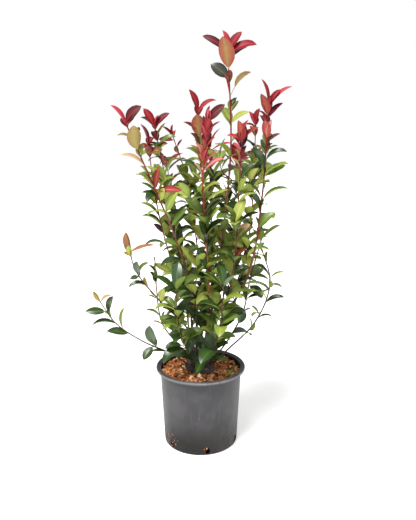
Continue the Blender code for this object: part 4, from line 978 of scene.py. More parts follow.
        (0.039, -38, 10, 17, 0.046, 0.5, 0.42, "olive"), (0.065, 4, 15, 55, 0.040, 0.4, 0.58, "lime"),
        (0.111, -54, 5, 10, 0.062, 0.8, 0.36, "deep"), (0.115, 70, 5, 8, 0.051, 0.8, 0.24, "fresh"),
        (0.122, -78, 10, 14, 0.065, 0.7, 0.32, "green"), (0.136, 109, 5, 18, 0.041, 0.9, 0.32, "green"),
        (0.147, 0, 30, 45, 0.034, 0.4, 0.60, "green"), (0.154, -150, -45, 20, 0.049, 0.8, 0.40, "green"),
        (0.185, -35, 5, 7, 0.030, 0.4, 0.36, "fresh"), (0.197, 79, 5, 20, 0.065, 1.0, 0.36, "deep"),
        (0.233, -138, -40, 20, 0.047, 0.8, 0.40, "green"), (0.241, -42, 5, 15, 0.045, 0.6, 0.30, "green"),
        (0.252, 92, 5, 7, 0.052, 1.3, 0.36, "deep"), (0.286, -13, 0, 15, 0.030, 0.4, 0.32, "green"),
        (0.300, 34, 20, 45, 0.036, 0.4, 0.60, "green"), (0.329, 49, 30, 50, 0.032, 0.4, 0.70, "deep"),
    ],
    "low_right": [
        (0.163, 138, 10, 55, 0.064, 1.2, 0.55, "deep"), (0.209, 76, 10, 22, 0.053, 0.6, 0.42, "deep"),
        (0.238, -156, 20, 55, 0.055, 0.5, 0.52, "sage"), (0.275, -47, 15, 50, 0.044, 0.5, 0.50, "dusk"),
        (0.252, 62, 20, 45, 0.030, 0.5, 0.55, "fresh"), (0.095, 106, 5, 10, 0.037, 0.8, 0.32, "fresh"),
    ],
}
print("leaves set one by one:", sum(len(rows) for rows in SET_LEAVES.values()))


# %% Curves and limbs
def curve_at(knots, t):
    """Points at t along one smooth curve through the knots: cubic pieces over the chord lengths, whose slope
    at each knot comes from its neighbours."""
    chord = np.concatenate([[0], np.cumsum(np.linalg.norm(np.diff(knots, axis=0), axis=1))])
    slope = np.gradient(knots, chord, axis=0)
    i = np.clip(np.searchsorted(chord, t, side="right") - 1, 0, len(knots) - 2)
    h = (chord[i + 1] - chord[i])[:, None]
    u = (t - chord[i])[:, None] / h
    start = (1 + 2 * u) * (1 - u) ** 2 * knots[i] + u * (1 - u) ** 2 * h * slope[i]
    return start + u * u * (3 - 2 * u) * knots[i + 1] + u * u * (u - 1) * h * slope[i + 1]


def unit(vector):
    return vector / math.sqrt(vector @ vector)


def cross(a, b):
    return np.array([a[1] * b[2] - a[2] * b[1], a[2] * b[0] - a[0] * b[2], a[0] * b[1] - a[1] * b[0]])


class Path:
    """A limb's centreline. Growth reads it as short straight pieces, by the distance from its foot, as the
    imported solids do. The finished limb and its leaves then follow the smooth curve beside those pieces."""

    def __init__(self, points, thick):
        self.through = np.array(points, float)
        rough = np.linalg.norm(np.diff(self.through, axis=0), axis=1).sum()
        count = max(3, round(rough / LIMB_PIECE) + 1)
        self.t = np.linspace(0, rough, count)
        self.line = curve_at(self.through, self.t)
        pieces = np.linalg.norm(np.diff(self.line, axis=0), axis=1)
        self.knots = np.concatenate([[0], np.cumsum(pieces)])
        self.length = float(self.knots[-1])
        self.thick = thick
        run = unit(self.line[-1] - self.line[0])
        self.guide = np.array([0.0, 1.0, 0.0] if abs(run[1]) < 0.8 else [1.0, 0.0, 0.0])

    def point(self, s):
        return np.array([np.interp(s, self.knots, self.line[:, k]) for k in range(3)])

    def smooth_points(self, s):
        """The smooth curve's points (n, 3) at the distances s."""
        return curve_at(self.through, np.interp(s, self.knots, self.t))

    def frame(self, s):
        """The direction of growth at s, and two directions square to it."""
        step = 0.012
        before = self.point(max(s - step, 0))
        tangent = unit(self.point(min(s + step, self.length)) - before)
        first = unit(cross(tangent, self.guide))
        return tangent, first, cross(tangent, first)

    def radius(self, s):
        share = s / self.length
        return ((1 - share) * self.thick[0] + share * self.thick[1]) / 2


# %% Leaves up a limb
def leaf_on(path, s, bearing, hold, rng, upright=0, smaller=0):
    """A leaf at s up a path, at a bearing in degrees round it, held as the hold says, but `upright` degrees
    nearer to the direction of growth and shorter by the share `smaller`."""
    tangent, first, second = path.frame(s)
    turn = math.radians(bearing)
    lean = math.radians(rng.uniform(*hold["lean"]) - upright)
    length = rng.uniform(*hold["length"]) * (1 - smaller)
    bend = rng.uniform(*hold["bend"])
    out = math.cos(turn) * first + math.sin(turn) * second
    along = unit(math.cos(lean) * tangent + math.sin(lean) * out)
    level = 1 - abs(tangent[2])
    up = (1 - level) * tangent + np.array([0, 0, level + 0.25])
    up = up + rng.uniform(*hold["roll"]) * cross(along, up)
    base = path.smooth_points(np.array([s]))[0]
    side = unit(cross(up, along))
    return dict(base=base, along=along, side=side, length=length, bend=bend, share=s / path.length, s=s)


def set_leaves(path, rows):
    """The leaves of a stem that are set one by one. A leaf's line is the chord of its midrib's arc, and its
    upper face looks back to the stem before it is turned to the front."""
    for down, clock, front, face, length, bend, width, tint, *stalk in rows:
        s = path.length - down
        clock, front, face = (math.radians(angle) for angle in (clock, front, face))
        line = math.cos(front) * np.array([math.sin(clock), -math.tan(front), math.cos(clock)])
        tangent = path.frame(s)[0]
        up = unit(tangent - (tangent @ line) * line)
        side = cross(up, line)
        up = math.cos(face) * up + math.sin(face) * math.copysign(1, -side[1]) * side
        along = math.cos(bend / 2) * line + math.sin(bend / 2) * up
        base = path.smooth_points(np.array([s]))[0]
        side = unit(cross(up, along))
        leaf = dict(base=base, along=along, side=side, length=length, bend=bend, share=s / path.length, s=s)
        fold = 0.20 if front > 0.2 else 0.70 - 0.45 * min(abs(face), 1)
        yield {**leaf, "width": width, "tint": tint, "fold": fold, "stalk": stalk[0] if stalk else STALK_END}


def old_leaves(path, start, stop, rng, apart=INTERNODE):
    """The green leaves up a path: about so far apart, each a golden turn round from the last. Lower ones are
    longer and stand out further."""
    bearing = rng.uniform(0, 360)
    s = start + apart * rng.uniform(0.2, 0.8)
    while s < stop:
        share = s / path.length
        bearing += GOLDEN_TURN + rng.uniform(-TURN_STRAY, TURN_STRAY)
        yield leaf_on(path, s, bearing, OLD_HOLD, rng, LEAN_LOST * share, LENGTH_LOST * share)
        s += apart * rng.uniform(0.80, 1.25)


def young_leaves(path, start, rosette, rng):
    """The leaves of the latest growth: a few up to the tip, then a rosette round it that closes upwards."""
    bearing = rng.uniform(0, 360)
    s = start + 0.3 * INTERNODE
    while s < path.length - 1.4 * ROSETTE_DEPTH:
        bearing += GOLDEN_TURN + rng.uniform(-TURN_STRAY, TURN_STRAY)
        yield leaf_on(path, s, bearing, YOUNG_HOLD, rng)
        s += 0.85 * INTERNODE * rng.uniform(0.80, 1.25)
    for k in range(rosette):
        share = k / rosette
        s = path.length - ROSETTE_DEPTH * (1 - share)
        bearing += GOLDEN_TURN + rng.uniform(-TURN_STRAY, TURN_STRAY)
        closed, smaller = ROSETTE_CLOSING * share, ROSETTE_SHORTENING * share**2
        yield leaf_on(path, s, bearing, ROSETTE_HOLD, rng, closed, smaller)


def side_twigs(path, start, stop, count, rng):
    """Paths of the side twigs: each leaves the stem, leans out and then turns up beside it."""
    for k in range(count):
        s = start + (stop - start) * (k + rng.uniform(0.3, 0.7)) / count
        tangent, first, second = path.frame(s)
        turn = rng.uniform(0, math.tau)
        out = math.cos(turn) * first + math.sin(turn) * second
        length = rng.uniform(*TWIG_LENGTH)
        points = [path.smooth_points(np.array([s]))[0]]
        for up, aside in TWIG_PIECES:
            points.append(points[-1] + length * (up * tangent + aside * out))
        yield Path(points, TWIG_THICK)


def stem_path(name):
    """The centreline of a stem, from inside the crown or from beside the limb that it forks from."""
    stem = STEMS[name]
    through = [np.array(p) for p in stem["through"]]
    if "fork" in stem:
        host_name, share = stem["fork"]
        host = stem_path(host_name)
        s = share * host.length
        towards = unit(through[0] - host.point(s))
        lean = math.acos(towards @ host.frame(s)[0])
        clear = LIMB_FLAT * host.radius(s) + GAP + stem["thick"][0] / 2 * math.cos(lean)
        return Path([host.point(s) + towards * clear / math.sin(lean), *through], stem["thick"])
    bearing, (out, height) = stem["foot"]
    turn = math.radians(bearing)
    foot = np.array([out * math.cos(turn), out * math.sin(turn), SOIL_TOP + height])
    return Path([foot, *through], stem["thick"])


def growth_of(name):
    """All that one stem bears: (the limb, its old leaves, its young leaves) for the stem and each twig."""
    stem = STEMS[name]
    path = stem_path(name)
    start = stem["leaves"] * path.length
    last = path.length - GREEN_TIP
    if stem["flush"]:
        last = stem["flush"] * path.length
    tip = list(set_leaves(path, SET_LEAVES.get(name, [])))
    if "rosette" in stem:
        tip += young_leaves(path, last, stem["rosette"], random.Random(stem["tip_seed"]))
    rng = random.Random(stem["seed"])
    parts = [(path, list(old_leaves(path, start, last, rng, stem.get("apart", INTERNODE))), tip)]
    for twig in side_twigs(path, start + INTERNODE, last - INTERNODE, stem["twigs"], rng):
        old = list(old_leaves(twig, 0.2 * twig.length, 0.75 * twig.length, rng))
        young = list(young_leaves(twig, 0.8 * twig.length, TWIG_ROSETTE, rng))
        parts.append((twig, old, young))
    return parts


grown = {name: growth_of(name) for name in STEMS}
print("leaves by the rule:", sum(len(o) + len(y) for parts in grown.values() for _, o, y in parts))

# %% [markdown]
# ## Bark
# Old photinia stems are grey-brown with fine ridges and small corky spots. Higher up they are smooth and
# orange-brown, and the last hand's breadth is crimson. A field kept at the points says how young the wood is,
# and a ramp of colours reads it. The stem in the middle of the front is a brighter orange than the others.

# %% Bark
def bark_finish(name, colours):
    """Bark from foot to tip: a ramp of colours by age, fine upright grain, and corky spots on the older
    wood."""
    finish = Finish(name, Specular_IOR_Level=0.25)
    age = finish.attribute("youth")
    grain = finish.noise(0.0022, 4.0, (1, 1, 5))
    spots = finish.noise(0.0035, 2.0).above(0.60, 0.70)
    places = (0.00, 0.15, 0.35, 0.55, 0.75, 1.00)
    wood = finish.ramp(age + grain * 0.10 - 0.05, list(zip(places, colours)))
    wood = finish.mix(spots * (1 - age) * 0.2, wood, rgb(150, 128, 104))
    finish.set("Base Color", finish.mix(grain.above(0.55, 0.85) * 0.20, wood, rgb(60, 40, 36)))
    finish.set("Roughness", 0.64 - age * 0.12)
    finish.bump(grain * 0.7 + spots * 0.3, 0.0008)
    return finish


bark = bark_finish("bark", [
    rgb(56, 43, 38), rgb(84, 58, 46), rgb(112, 70, 52),
    rgb(128, 52, 46), rgb(122, 28, 42), rgb(106, 16, 40),
])
bright_bark = bark_finish("bright_bark", [
    rgb(118, 78, 52), rgb(150, 94, 58), rgb(170, 100, 58),
    rgb(176, 82, 56), rgb(172, 54, 54), rgb(140, 30, 48),
])

crown_bark = Finish("crown_bark", Roughness=0.85)
knots = crown_bark.noise(0.010, 5.0)
flakes = crown_bark.noise(0.0028, 4.0, (1, 1, 2))
dark = crown_bark.mix(knots.above(0.35, 0.65), rgb(30, 26, 25), rgb(70, 61, 56))
crown_bark.set("Base Color", crown_bark.mix(flakes.above(0.56, 0.70) * 0.6, dark, rgb(168, 158, 146)))
crown_bark.bump(flakes * 0.6 + knots, 0.0030)

# %% The stems' surfaces
AROUND = 10
RING_STEP = 0.0035
TALL = 0.8
TANGENT_STEP = 0.004
NODE_HALF = 0.0028
NODE_SWELL = 0.22
FLARE_HEIGHT = 0.014


def limb_grid(path, start, end, nodes, seed, flare):
    """A limb's points (rings, around, 3): circles square to the smooth curve, whose radius tapers, swells at
    each leaf's node and at the foot, and has fine ridges that wander up the wood. Both ends close to a
    point."""
    rings = max(6, int((end - start) / RING_STEP))
    s = np.linspace(start, end, rings)
    s = np.concatenate([[start], s, [end]])
    centre = path.smooth_points(s)
    ahead = path.smooth_points(np.minimum(s + TANGENT_STEP, path.length))
    behind = path.smooth_points(np.maximum(s - TANGENT_STEP, 0))
    tangent = ahead - behind
    tangent /= np.linalg.norm(tangent, axis=1)[:, None]
    first = np.cross(tangent, path.guide)
    first /= np.linalg.norm(first, axis=1)[:, None]
    second = np.cross(tangent, first)
    turn = np.linspace(0, math.tau, AROUND, endpoint=False)
    radius = LIMB_FLAT * path.radius(s)
    swelling = np.zeros_like(s)
    if len(nodes):
        swelling = np.exp(-(((s[:, None] - np.asarray(nodes)) / NODE_HALF) ** 2)).sum(axis=1).clip(0, 1)
    radius = radius * (1 + NODE_SWELL * swelling + flare * np.exp(-(s - start) / FLARE_HEIGHT))
    ridge = 0.05 * np.sin(3 * turn + 26 * s[:, None] + seed)
    ridge = ridge + 0.035 * np.sin(5 * turn - 61 * s[:, None] + 2 * seed)
    radius = radius[:, None] * (1 + ridge * (1 - 0.7 * s[:, None] / path.length))
    radius[0] = 0
    radius[-1] = 0
    circle = np.cos(turn)[None, :, None] * first[:, None] + np.sin(turn)[None, :, None] * second[:, None]
    return centre[:, None] + radius[..., None] * circle, s


def limbs_piece(name, limbs, finish):
    """One piece from many limbs: (points, youth of each point) each, with their poles closed."""
    points, faces, youth, first = [], [], [], 0
    for grid, young in limbs:
        rows, columns, _ = grid.shape
        last = (rows - 1) * columns
        quads = grid_faces(rows, columns, True)
        quads[quads < columns] = 0
        quads[quads >= last] = last
        points.append(grid.reshape(-1, 3))
        youth.append(np.repeat(young, columns))
        faces.extend(without_repeats((quads + first).tolist()))
        first += rows * columns
    return surface(name, np.concatenate(points), faces, [finish], fields={"youth": np.concatenate(youth)})


def stem_youth(path, s):
    """How young the wood is at s: 0 at the foot, and 1 at the tip of a tall stem. A low one stays brown."""
    share = s / path.length
    if path.line[-1, 2] > TALL:
        return share**1.5
    return 0.06 + 0.20 * share


stem_limbs, twig_limbs = [], []
for seed, (name, parts) in enumerate(grown.items()):
    for turn, (path, old, young) in enumerate(parts):
        nodes = [leaf["s"] for leaf in old + young]
        grid, s = limb_grid(path, 0.0, path.length, nodes, seed + 7 * turn, 0.5 if turn == 0 else 0.8)
        if turn == 0:
            stem_limbs.append((grid, stem_youth(path, s)))
        else:
            twig_limbs.append((grid, 0.12 + 0.35 * s / path.length))
print("limbs:", len(stem_limbs), "twigs:", len(twig_limbs))

boughs = [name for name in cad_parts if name.endswith("_bough")]
masses = [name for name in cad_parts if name.endswith("_mass")]
middle = list(grown).index("centre")
wood_pieces = [
    limbs_piece("stems", stem_limbs[:middle] + stem_limbs[middle + 1:], bark),
    limbs_piece("middle_stem", [stem_limbs[middle]], bright_bark),
    limbs_piece("side_twigs", twig_limbs, bark),
]
for piece in wood_pieces:
    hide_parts(*boughs, *masses)

# %% [markdown]
# ## The root crown
# Years of pruning leave a lump of dark knotted wood where the stems come from. It is a dome whose radius has
# knots of several sizes, worked out as a sum of round swellings at seeded places.

# %% The root crown
CROWN_RADIUS = 0.043
CROWN_HEIGHT = 0.047
CROWN_ROWS = 42
CROWN_AROUND = 110
CROWN_SHRINK = 0.98
CROWN_SEAT = SOIL_TOP + 0.0002
KNOT_COUNT = 46
KNOT_SEED = 3


def crown_grid():
    """The dome on its flat foot: x, y = radius times cos(lift), z = height times sin(lift), pushed out by
    knots. The first row is the foot's middle and the last one the dome's top."""
    rng = np.random.default_rng(KNOT_SEED)
    lift = np.radians(np.linspace(0, 90, CROWN_ROWS))[:, None]
    bearing = np.linspace(0, math.tau, CROWN_AROUND, endpoint=False)[None]
    way = [np.cos(lift) * np.cos(bearing), np.cos(lift) * np.sin(bearing), np.sin(lift) + 0 * bearing]
    way = np.stack(way, axis=-1)
    knots = rng.normal(size=(KNOT_COUNT, 3))
    knots[:, 2] = np.abs(knots[:, 2])
    knots /= np.linalg.norm(knots, axis=1)[:, None]
    width = rng.uniform(0.10, 0.30, KNOT_COUNT)
    push = rng.uniform(-0.05, 0.16, KNOT_COUNT)
    near = np.exp(-((1 - way @ knots.T) / width**2)) @ push
    size = (1 + near)[..., None] * [CROWN_RADIUS, CROWN_RADIUS, CROWN_HEIGHT]
    grid = way * size * CROWN_SHRINK
    grid[..., 2] += CROWN_SEAT
    grid[-1] = grid[-1].mean(axis=0)
    middle = np.broadcast_to([0, 0, CROWN_SEAT], (1, CROWN_AROUND, 3))
    return np.concatenate([middle, grid])


crown_points = crown_grid().reshape(-1, 3)
crown_shape = merged_poles(crown_points, grid_faces(CROWN_ROWS + 1, CROWN_AROUND, True))
crown_piece = surface("root_crown_wood", *crown_shape, [crown_bark])
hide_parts("root_crown")

# %% [markdown]
# ## Leaves
# A photinia leaf is long, widest past its middle and pointed, on a short stalk. Its upper face is dark and
# glossy, its under face pale and dull, and the midrib shows as a lighter line. The under faces are paler and
# yellower still, a painted light for light that shines through the leaves. Each leaf is a closed thin shell:
# an upper sheet in five strips, of which the middle one is the rib, and an under sheet in two. Upper, under
# and rib have a finish each. Where tints have a place, as in the red tips, each tint is a plain finish of its
# own, dealt out leaf by leaf.

# %% The leaf's shape
STATIONS = np.array([0, 0.05, 0.11, 0.20, 0.32, 0.45, 0.58, 0.71, 0.84, 0.94, 1.0])
STALK_HALF = 0.0012
RIB_HALF = 0.0010
LEAF_THICK = 0.0007
RIB_SUNK = 0.0003
ACROSS = np.array([-1.0, -0.52, 0.0, 0.0, 0.52, 1.0])
FINE = 60


def blade_share(t, stalk, foot=0.72, tip=0.82):
    """The half width's share at t along the leaf: nothing up to the stalk's end, then b to the power `foot`
    times (1 - b) to the power `tip`, scaled to reach 1 at its widest. The higher power draws out the tip."""
    b = np.clip((t - stalk) / (1 - stalk), 0, 1)
    widest = foot / (foot + tip)
    return b**foot * (1 - b) ** tip / (widest**foot * (1 - widest) ** tip)


def leaf_points(leaves):
    """The corners (leaves, stations, 7, 3) of all the leaves at once. The midrib starts along the leaf's own
    direction and turns away from its upper side, more so towards the tip. At each station six points cross
    the upper face from edge to edge and one lies under the rib. The edges fold up, and ripple a little."""
    values = ([leaf[key] for leaf in leaves] for key in ("base", "along", "side", "length", "bend"))
    base, along, side, length, bend = (np.array(column)[:, None] for column in values)
    up = np.cross(along, side)
    curl, fold, wave, twist, width = np.array([leaf["form"] for leaf in leaves]).T[..., None]
    stalk = np.array([leaf.get("stalk", STALK_END) for leaf in leaves])[:, None]
    fine = np.linspace(0, 1, FINE)[None]
    turn = bend * ((1 - curl) * fine + curl * fine**2.5)
    step = length / (FINE - 1)
    middle = (turn[:, 1:] + turn[:, :-1]) / 2
    ahead = np.concatenate([0 * step, np.cumsum(np.cos(middle) * step, axis=1)], axis=1)
    down = np.concatenate([0 * step, np.cumsum(np.sin(middle) * step, axis=1)], axis=1)
    spots = np.round(STATIONS * (FINE - 1)).astype(int)
    t = STATIONS[None]
    turn, ahead, down = turn[:, spots, None], ahead[:, spots, None], down[:, spots, None]
    spine = base + ahead * along - down * up
    above = np.sin(turn) * along + np.cos(turn) * up
    roll = (twist * t)[..., None]
    lifted = np.cos(roll) * above - np.sin(roll) * side
    aside = np.cos(roll) * side + np.sin(roll) * above
    half = np.maximum(width / 2 * length * blade_share(t, stalk), STALK_HALF * (1 - 0.6 * t))
    rib = np.minimum(RIB_HALF * (1 - 0.7 * t), 0.4 * half + 1e-5)
    out = ACROSS[None, None] * half[..., None]
    out[..., 2] = -rib
    out[..., 3] = rib
    ripple = wave[..., None] * np.sin(t[..., None] * 15 + 2 * np.sign(ACROSS))
    ripple = ripple * half[..., None] * np.abs(ACROSS)
    rise = fold[..., None] * np.abs(out) + ripple
    rise[..., 1:5] += LEAF_THICK / 2
    rise[..., 2:4] -= RIB_SUNK * (blade_share(t, stalk) > 0.05)[..., None]
    top = spine[:, :, None] + out[..., None] * aside[:, :, None] + rise[..., None] * lifted[:, :, None]
    under = spine - (LEAF_THICK / 2 + 0.35 * rib[..., None]) * lifted
    points = np.concatenate([top, under[:, :, None]], axis=2)
    points[:, 0] = spine[:, 0, None]
    points[:, -1] = spine[:, -1, None]
    return points


def leaf_faces():
    """One leaf's faces and each one's finish: 0 upper, 1 under, 2 rib and stalk. A strip runs between two
    neighbouring columns, and the leaf's first and last rows are single points."""
    columns = 7
    strips = [(k, k + 1, 2 if k == 2 else 0) for k in range(5)] + [(5, 6, 1), (6, 0, 1)]
    faces, finish = [], []
    last = len(STATIONS) - 2
    for row in range(len(STATIONS) - 1):
        for left, right, kind in strips:
            a, b = row * columns + left, row * columns + right
            if row == 0:
                face = (0, b + columns, a + columns)
            elif row == last:
                face = (a, b, (last + 1) * columns)
            else:
                face = (a, b, b + columns, a + columns)
            faces.append(face)
            finish.append(2 if row < 2 else kind)
    return faces, finish


ONE_LEAF, ONE_FINISH = leaf_faces()
print("faces a leaf:", len(ONE_LEAF))

# %% Leaf finishes
# Each tint's colours: the upper face, the under face, the rib with its side veins, and the margin.
# Most under faces are paler and yellower than the leaf's own: partly painted light, for light through the leaf.
TINTS = {
    "deep": (rgb(32, 56, 24), rgb(138, 154, 74), rgb(84, 106, 44), rgb(40, 62, 26)),
    "shade": (rgb(30, 54, 22), rgb(50, 78, 32), rgb(84, 106, 44), rgb(40, 62, 26)),
    "green": (rgb(76, 100, 40), rgb(152, 166, 78), rgb(134, 148, 62), rgb(84, 106, 36)),
    "fresh": (rgb(112, 132, 50), rgb(166, 178, 78), rgb(172, 178, 84), rgb(134, 148, 54)),
    "lime": (rgb(138, 150, 68), rgb(172, 180, 88), rgb(188, 190, 106), rgb(154, 154, 62)),
    "bronze": (rgb(124, 92, 50), rgb(158, 118, 74), rgb(182, 162, 92), rgb(158, 58, 58)),
    "olive": (rgb(112, 112, 50), rgb(156, 150, 78), rgb(170, 132, 78), rgb(136, 98, 56)),
    "red": (rgb(134, 22, 30), rgb(154, 46, 50), rgb(176, 62, 68), rgb(104, 14, 24)),
    "maroon": (rgb(94, 20, 26), rgb(124, 40, 46), rgb(136, 46, 54), rgb(70, 14, 20)),
    "wine": (rgb(76, 20, 22), rgb(108, 38, 38), rgb(118, 42, 46), rgb(56, 14, 18)),
    "pink": (rgb(168, 46, 60), rgb(192, 78, 84), rgb(208, 100, 104), rgb(150, 34, 50)),
    "rust": (rgb(128, 52, 42), rgb(156, 76, 62), rgb(184, 108, 84), rgb(140, 30, 40)),
    "salmon": (rgb(180, 98, 98), rgb(198, 134, 128), rgb(216, 160, 148), rgb(168, 66, 74)),
    "cream": (rgb(178, 154, 112), rgb(190, 170, 128), rgb(196, 176, 132), rgb(170, 120, 90)),
    "blush": (rgb(134, 136, 64), rgb(160, 154, 92), rgb(186, 150, 96), rgb(152, 108, 66)),
    "dusk": (rgb(54, 44, 46), rgb(98, 76, 78), rgb(98, 70, 74), rgb(48, 34, 36)),
    "brown": (rgb(80, 46, 26), rgb(118, 76, 48), rgb(132, 84, 54), rgb(62, 30, 18)),
    "copper": (rgb(142, 94, 62), rgb(158, 114, 80), rgb(172, 134, 88), rgb(136, 82, 50)),
    "coral": (rgb(150, 46, 42), rgb(172, 82, 72), rgb(184, 98, 84), rgb(126, 26, 30)),
    # sage: a greyer, bluish green that stands partly for a painted sheen on dark leaves.
    "sage": (rgb(44, 70, 42), rgb(118, 138, 98), rgb(92, 114, 72), rgb(58, 82, 50)),
    # slate: a grey green whose grey stands partly for a painted sheen.
    "slate": (rgb(48, 52, 42), rgb(98, 98, 84), rgb(92, 90, 74), rgb(40, 38, 32)),
}
LIGHT_GREEN = rgb(0, 130, 0)[1]
TWO_TONED = ("bronze", "olive", "copper")
GLOSSY = {"shade": 0.24, "deep": 0.24, "green": 0.28, "fresh": 0.34, "sage": 0.26, "slate": 0.30}


def leaf_finish(name, colour, vein, margin, roughness, shine, spread):
    """One face of one tint: two tones in soft clouds and lengthwise streaks, each leaf a little lighter or
    darker than the next, side veins that slant from the rib, and a margin of its own tint, which reaches
    further in where `spread` is small."""
    finish = Finish(name, Specular_IOR_Level=shine)
    along, edge, own = (finish.attribute(key) for key in ("along", "edge", "own"))
    lift = 1.12 if colour[1] > LIGHT_GREEN else 1.30
    streak = (edge * 9 + own * 9 + along * 2.5).math("SINE") * (0.22 if spread < 2 else 0.10)
    tone = finish.noise(0.022, 2.0) * 0.7 + own * 0.5 + streak
    blade = finish.mix(tone.above(0.25, 0.95), shaded(colour, 0.72), shaded(colour, lift))
    slant = (along * 9 - edge * 1.4).math("FRACT")
    line = (slant - 0.5).math("ABSOLUTE").above(0.38, 0.50) * (1 - edge) * 0.30
    blade = finish.mix(line, blade, vein)
    finish.set("Base Color", finish.mix(edge**spread * 0.85, blade, margin))
    finish.set("Roughness", roughness + own * 0.08)
    finish.bump(line * 0.5 + finish.noise(0.009, 1.0), 0.0005, 0.3)
    return finish


leaf_finishes = {}
for tint, (upper, under, rib, margin) in TINTS.items():
    old = tint in GLOSSY
    shine, spread = (0.5, 3.0) if old else (0.22, 0.8 if tint in TWO_TONED else 1.3)
    leaf_finishes[tint] = [
        leaf_finish(f"{tint}_upper", upper, rib, margin, GLOSSY.get(tint, 0.46), shine, spread),
        leaf_finish(f"{tint}_under", under, rib, margin, 0.60, 0.25, spread),
        leaf_finish(f"{tint}_rib", rib, rib, rib, 0.50, 0.25, spread),
    ]
print("leaf finishes:", 3 * len(TINTS))

# %% [markdown]
# ## Tints, spurs and seedlings
# An old leaf is mostly a darker green the lower it stands, and the young leaves of a tip are red, bronze or
# olive by turns. In the axils of the old leaves sit short spurs with a few smaller leaves, which close the
# gaps between the shoots. They are made here and not in the solids, which have to stay light, and nothing
# keeps them clear of their neighbours. A few seedlings have sprung up in the mulch, as they do in a nursery.

# %% Which leaf has which tint
# Each green: its share low in the crown, and its share at the top.
GREEN_SHARES = [("deep", 0.56, 0.36), ("green", 0.24, 0.26), ("fresh", 0.14, 0.28), ("lime", 0.06, 0.10)]


def green_tint(height, rng):
    """A green for an old leaf: mostly dark low in the crown, and lighter ones towards the top."""
    draw = rng.random()
    for tint, low, high in GREEN_SHARES:
        draw -= low + (high - low) * height
        if draw < 0:
            return tint
    return "lime"


def form_of(rng, width, fold):
    """A leaf's own curl, fold, ripple, twist and width to its length."""
    curl, wave = rng.uniform(0.2, 0.7), rng.uniform(0.0, 0.05)
    twist, spread = rng.uniform(-0.30, 0.30), rng.uniform(0.94, 1.06)
    return curl, fold * rng.uniform(0.7, 1.3), wave, twist, width * spread


TIP_TINTS = {
    "low_right": "fresh deep green deep",
    "back_left": "bronze red maroon red pink red maroon",
    "back": "olive red bronze pink red maroon red",
    "back_right": "bronze pink red maroon red pink red",
    "front_left": "deep deep sage green",
    "front_right": "deep sage deep green",
    "foot_sprig": "shade shade deep shade",
}
# Low leaves are in the crown's own shade. Darker tints stand in for it, on the lowest leaves of all shoots
# and on all the old leaves and spurs of the shoots in SHADED.
DARK_BELOW = 0.34
GREEN_FROM = 0.35
GREEN_RISE = 0.55
SHADED = ("low_left", "foot_sprig")
TOP_GREENS = {"leader": "green fresh fresh fresh"}
TWIG_TINTS = "fresh lime green"
SPUR_LENGTH = (0.016, 0.034)
SPUR_THICK = (0.0022, 0.0014)
SPUR_HOLD = dict(lean=(20, 58), length=(0.046, 0.076), bend=(0.8, 1.6), roll=(-0.4, 0.4))
SPUR_SHARE = (0.40, 0.22)
SPUR_LEAVES = (2, 2, 3, 3)
spur_limbs = []


def spur_leaves(path, old, turn, rng):
    """Short spurs in the axils of a limb's old leaves, and the two or three smaller leaves on each."""
    made = []
    for leaf in old:
        if rng.random() > SPUR_SHARE[min(turn, 1)]:
            continue
        tangent = path.frame(leaf["s"])[0]
        aside = unit(0.8 * leaf["along"] + 0.9 * tangent)
        length = rng.uniform(*SPUR_LENGTH)
        foot = leaf["base"]
        tip = foot + length * (0.8 * aside + 0.3 * tangent)
        spur = Path([foot, foot + 0.5 * length * aside, tip], SPUR_THICK)
        spur_limbs.append(spur)
        bearing = rng.uniform(0, 360)
        for k in range(rng.choice(SPUR_LEAVES)):
            bearing += GOLDEN_TURN
            s = spur.length * (0.45 + 0.16 * k)
            made.append(leaf_on(spur, s, bearing, SPUR_HOLD, rng, 6 * k, 0.08 * k))
    return made


leaves_of = {tint: [] for tint in TINTS}
# Where each seedling stands: to the right of the pot's axis, and behind it.
SEEDLINGS = [
    (0.096, -0.034), (0.106, -0.022), (0.088, -0.050), (0.110, -0.006), (0.078, -0.060), (-0.088, -0.030),
]
SEEDLING_SEED = 3
SEEDLING_LEAVES = 3
SEEDLING_LENGTH = (0.013, 0.021)
SEEDLING_LIFT = 0.004
SEEDLING_BEND = 0.7


def seedling(right_of, behind, rng):
    """A few small leaves that rise from one point of the mulch, evenly round it."""
    made = []
    bearing = rng.uniform(0, math.tau)
    for _ in range(SEEDLING_LEAVES):
        out = np.array([math.cos(bearing), math.sin(bearing), 0.0])
        across = np.array([-out[1], out[0], 0.0])
        along = unit(out + np.array([0, 0, rng.uniform(0.6, 1.8)]))
        base = np.array([right_of, behind, SOIL_TOP + SEEDLING_LIFT])
        length = rng.uniform(*SEEDLING_LENGTH)
        made.append({"base": base, "along": along, "side": across, "length": length, "bend": SEEDLING_BEND})
        bearing += math.tau / SEEDLING_LEAVES
    return made


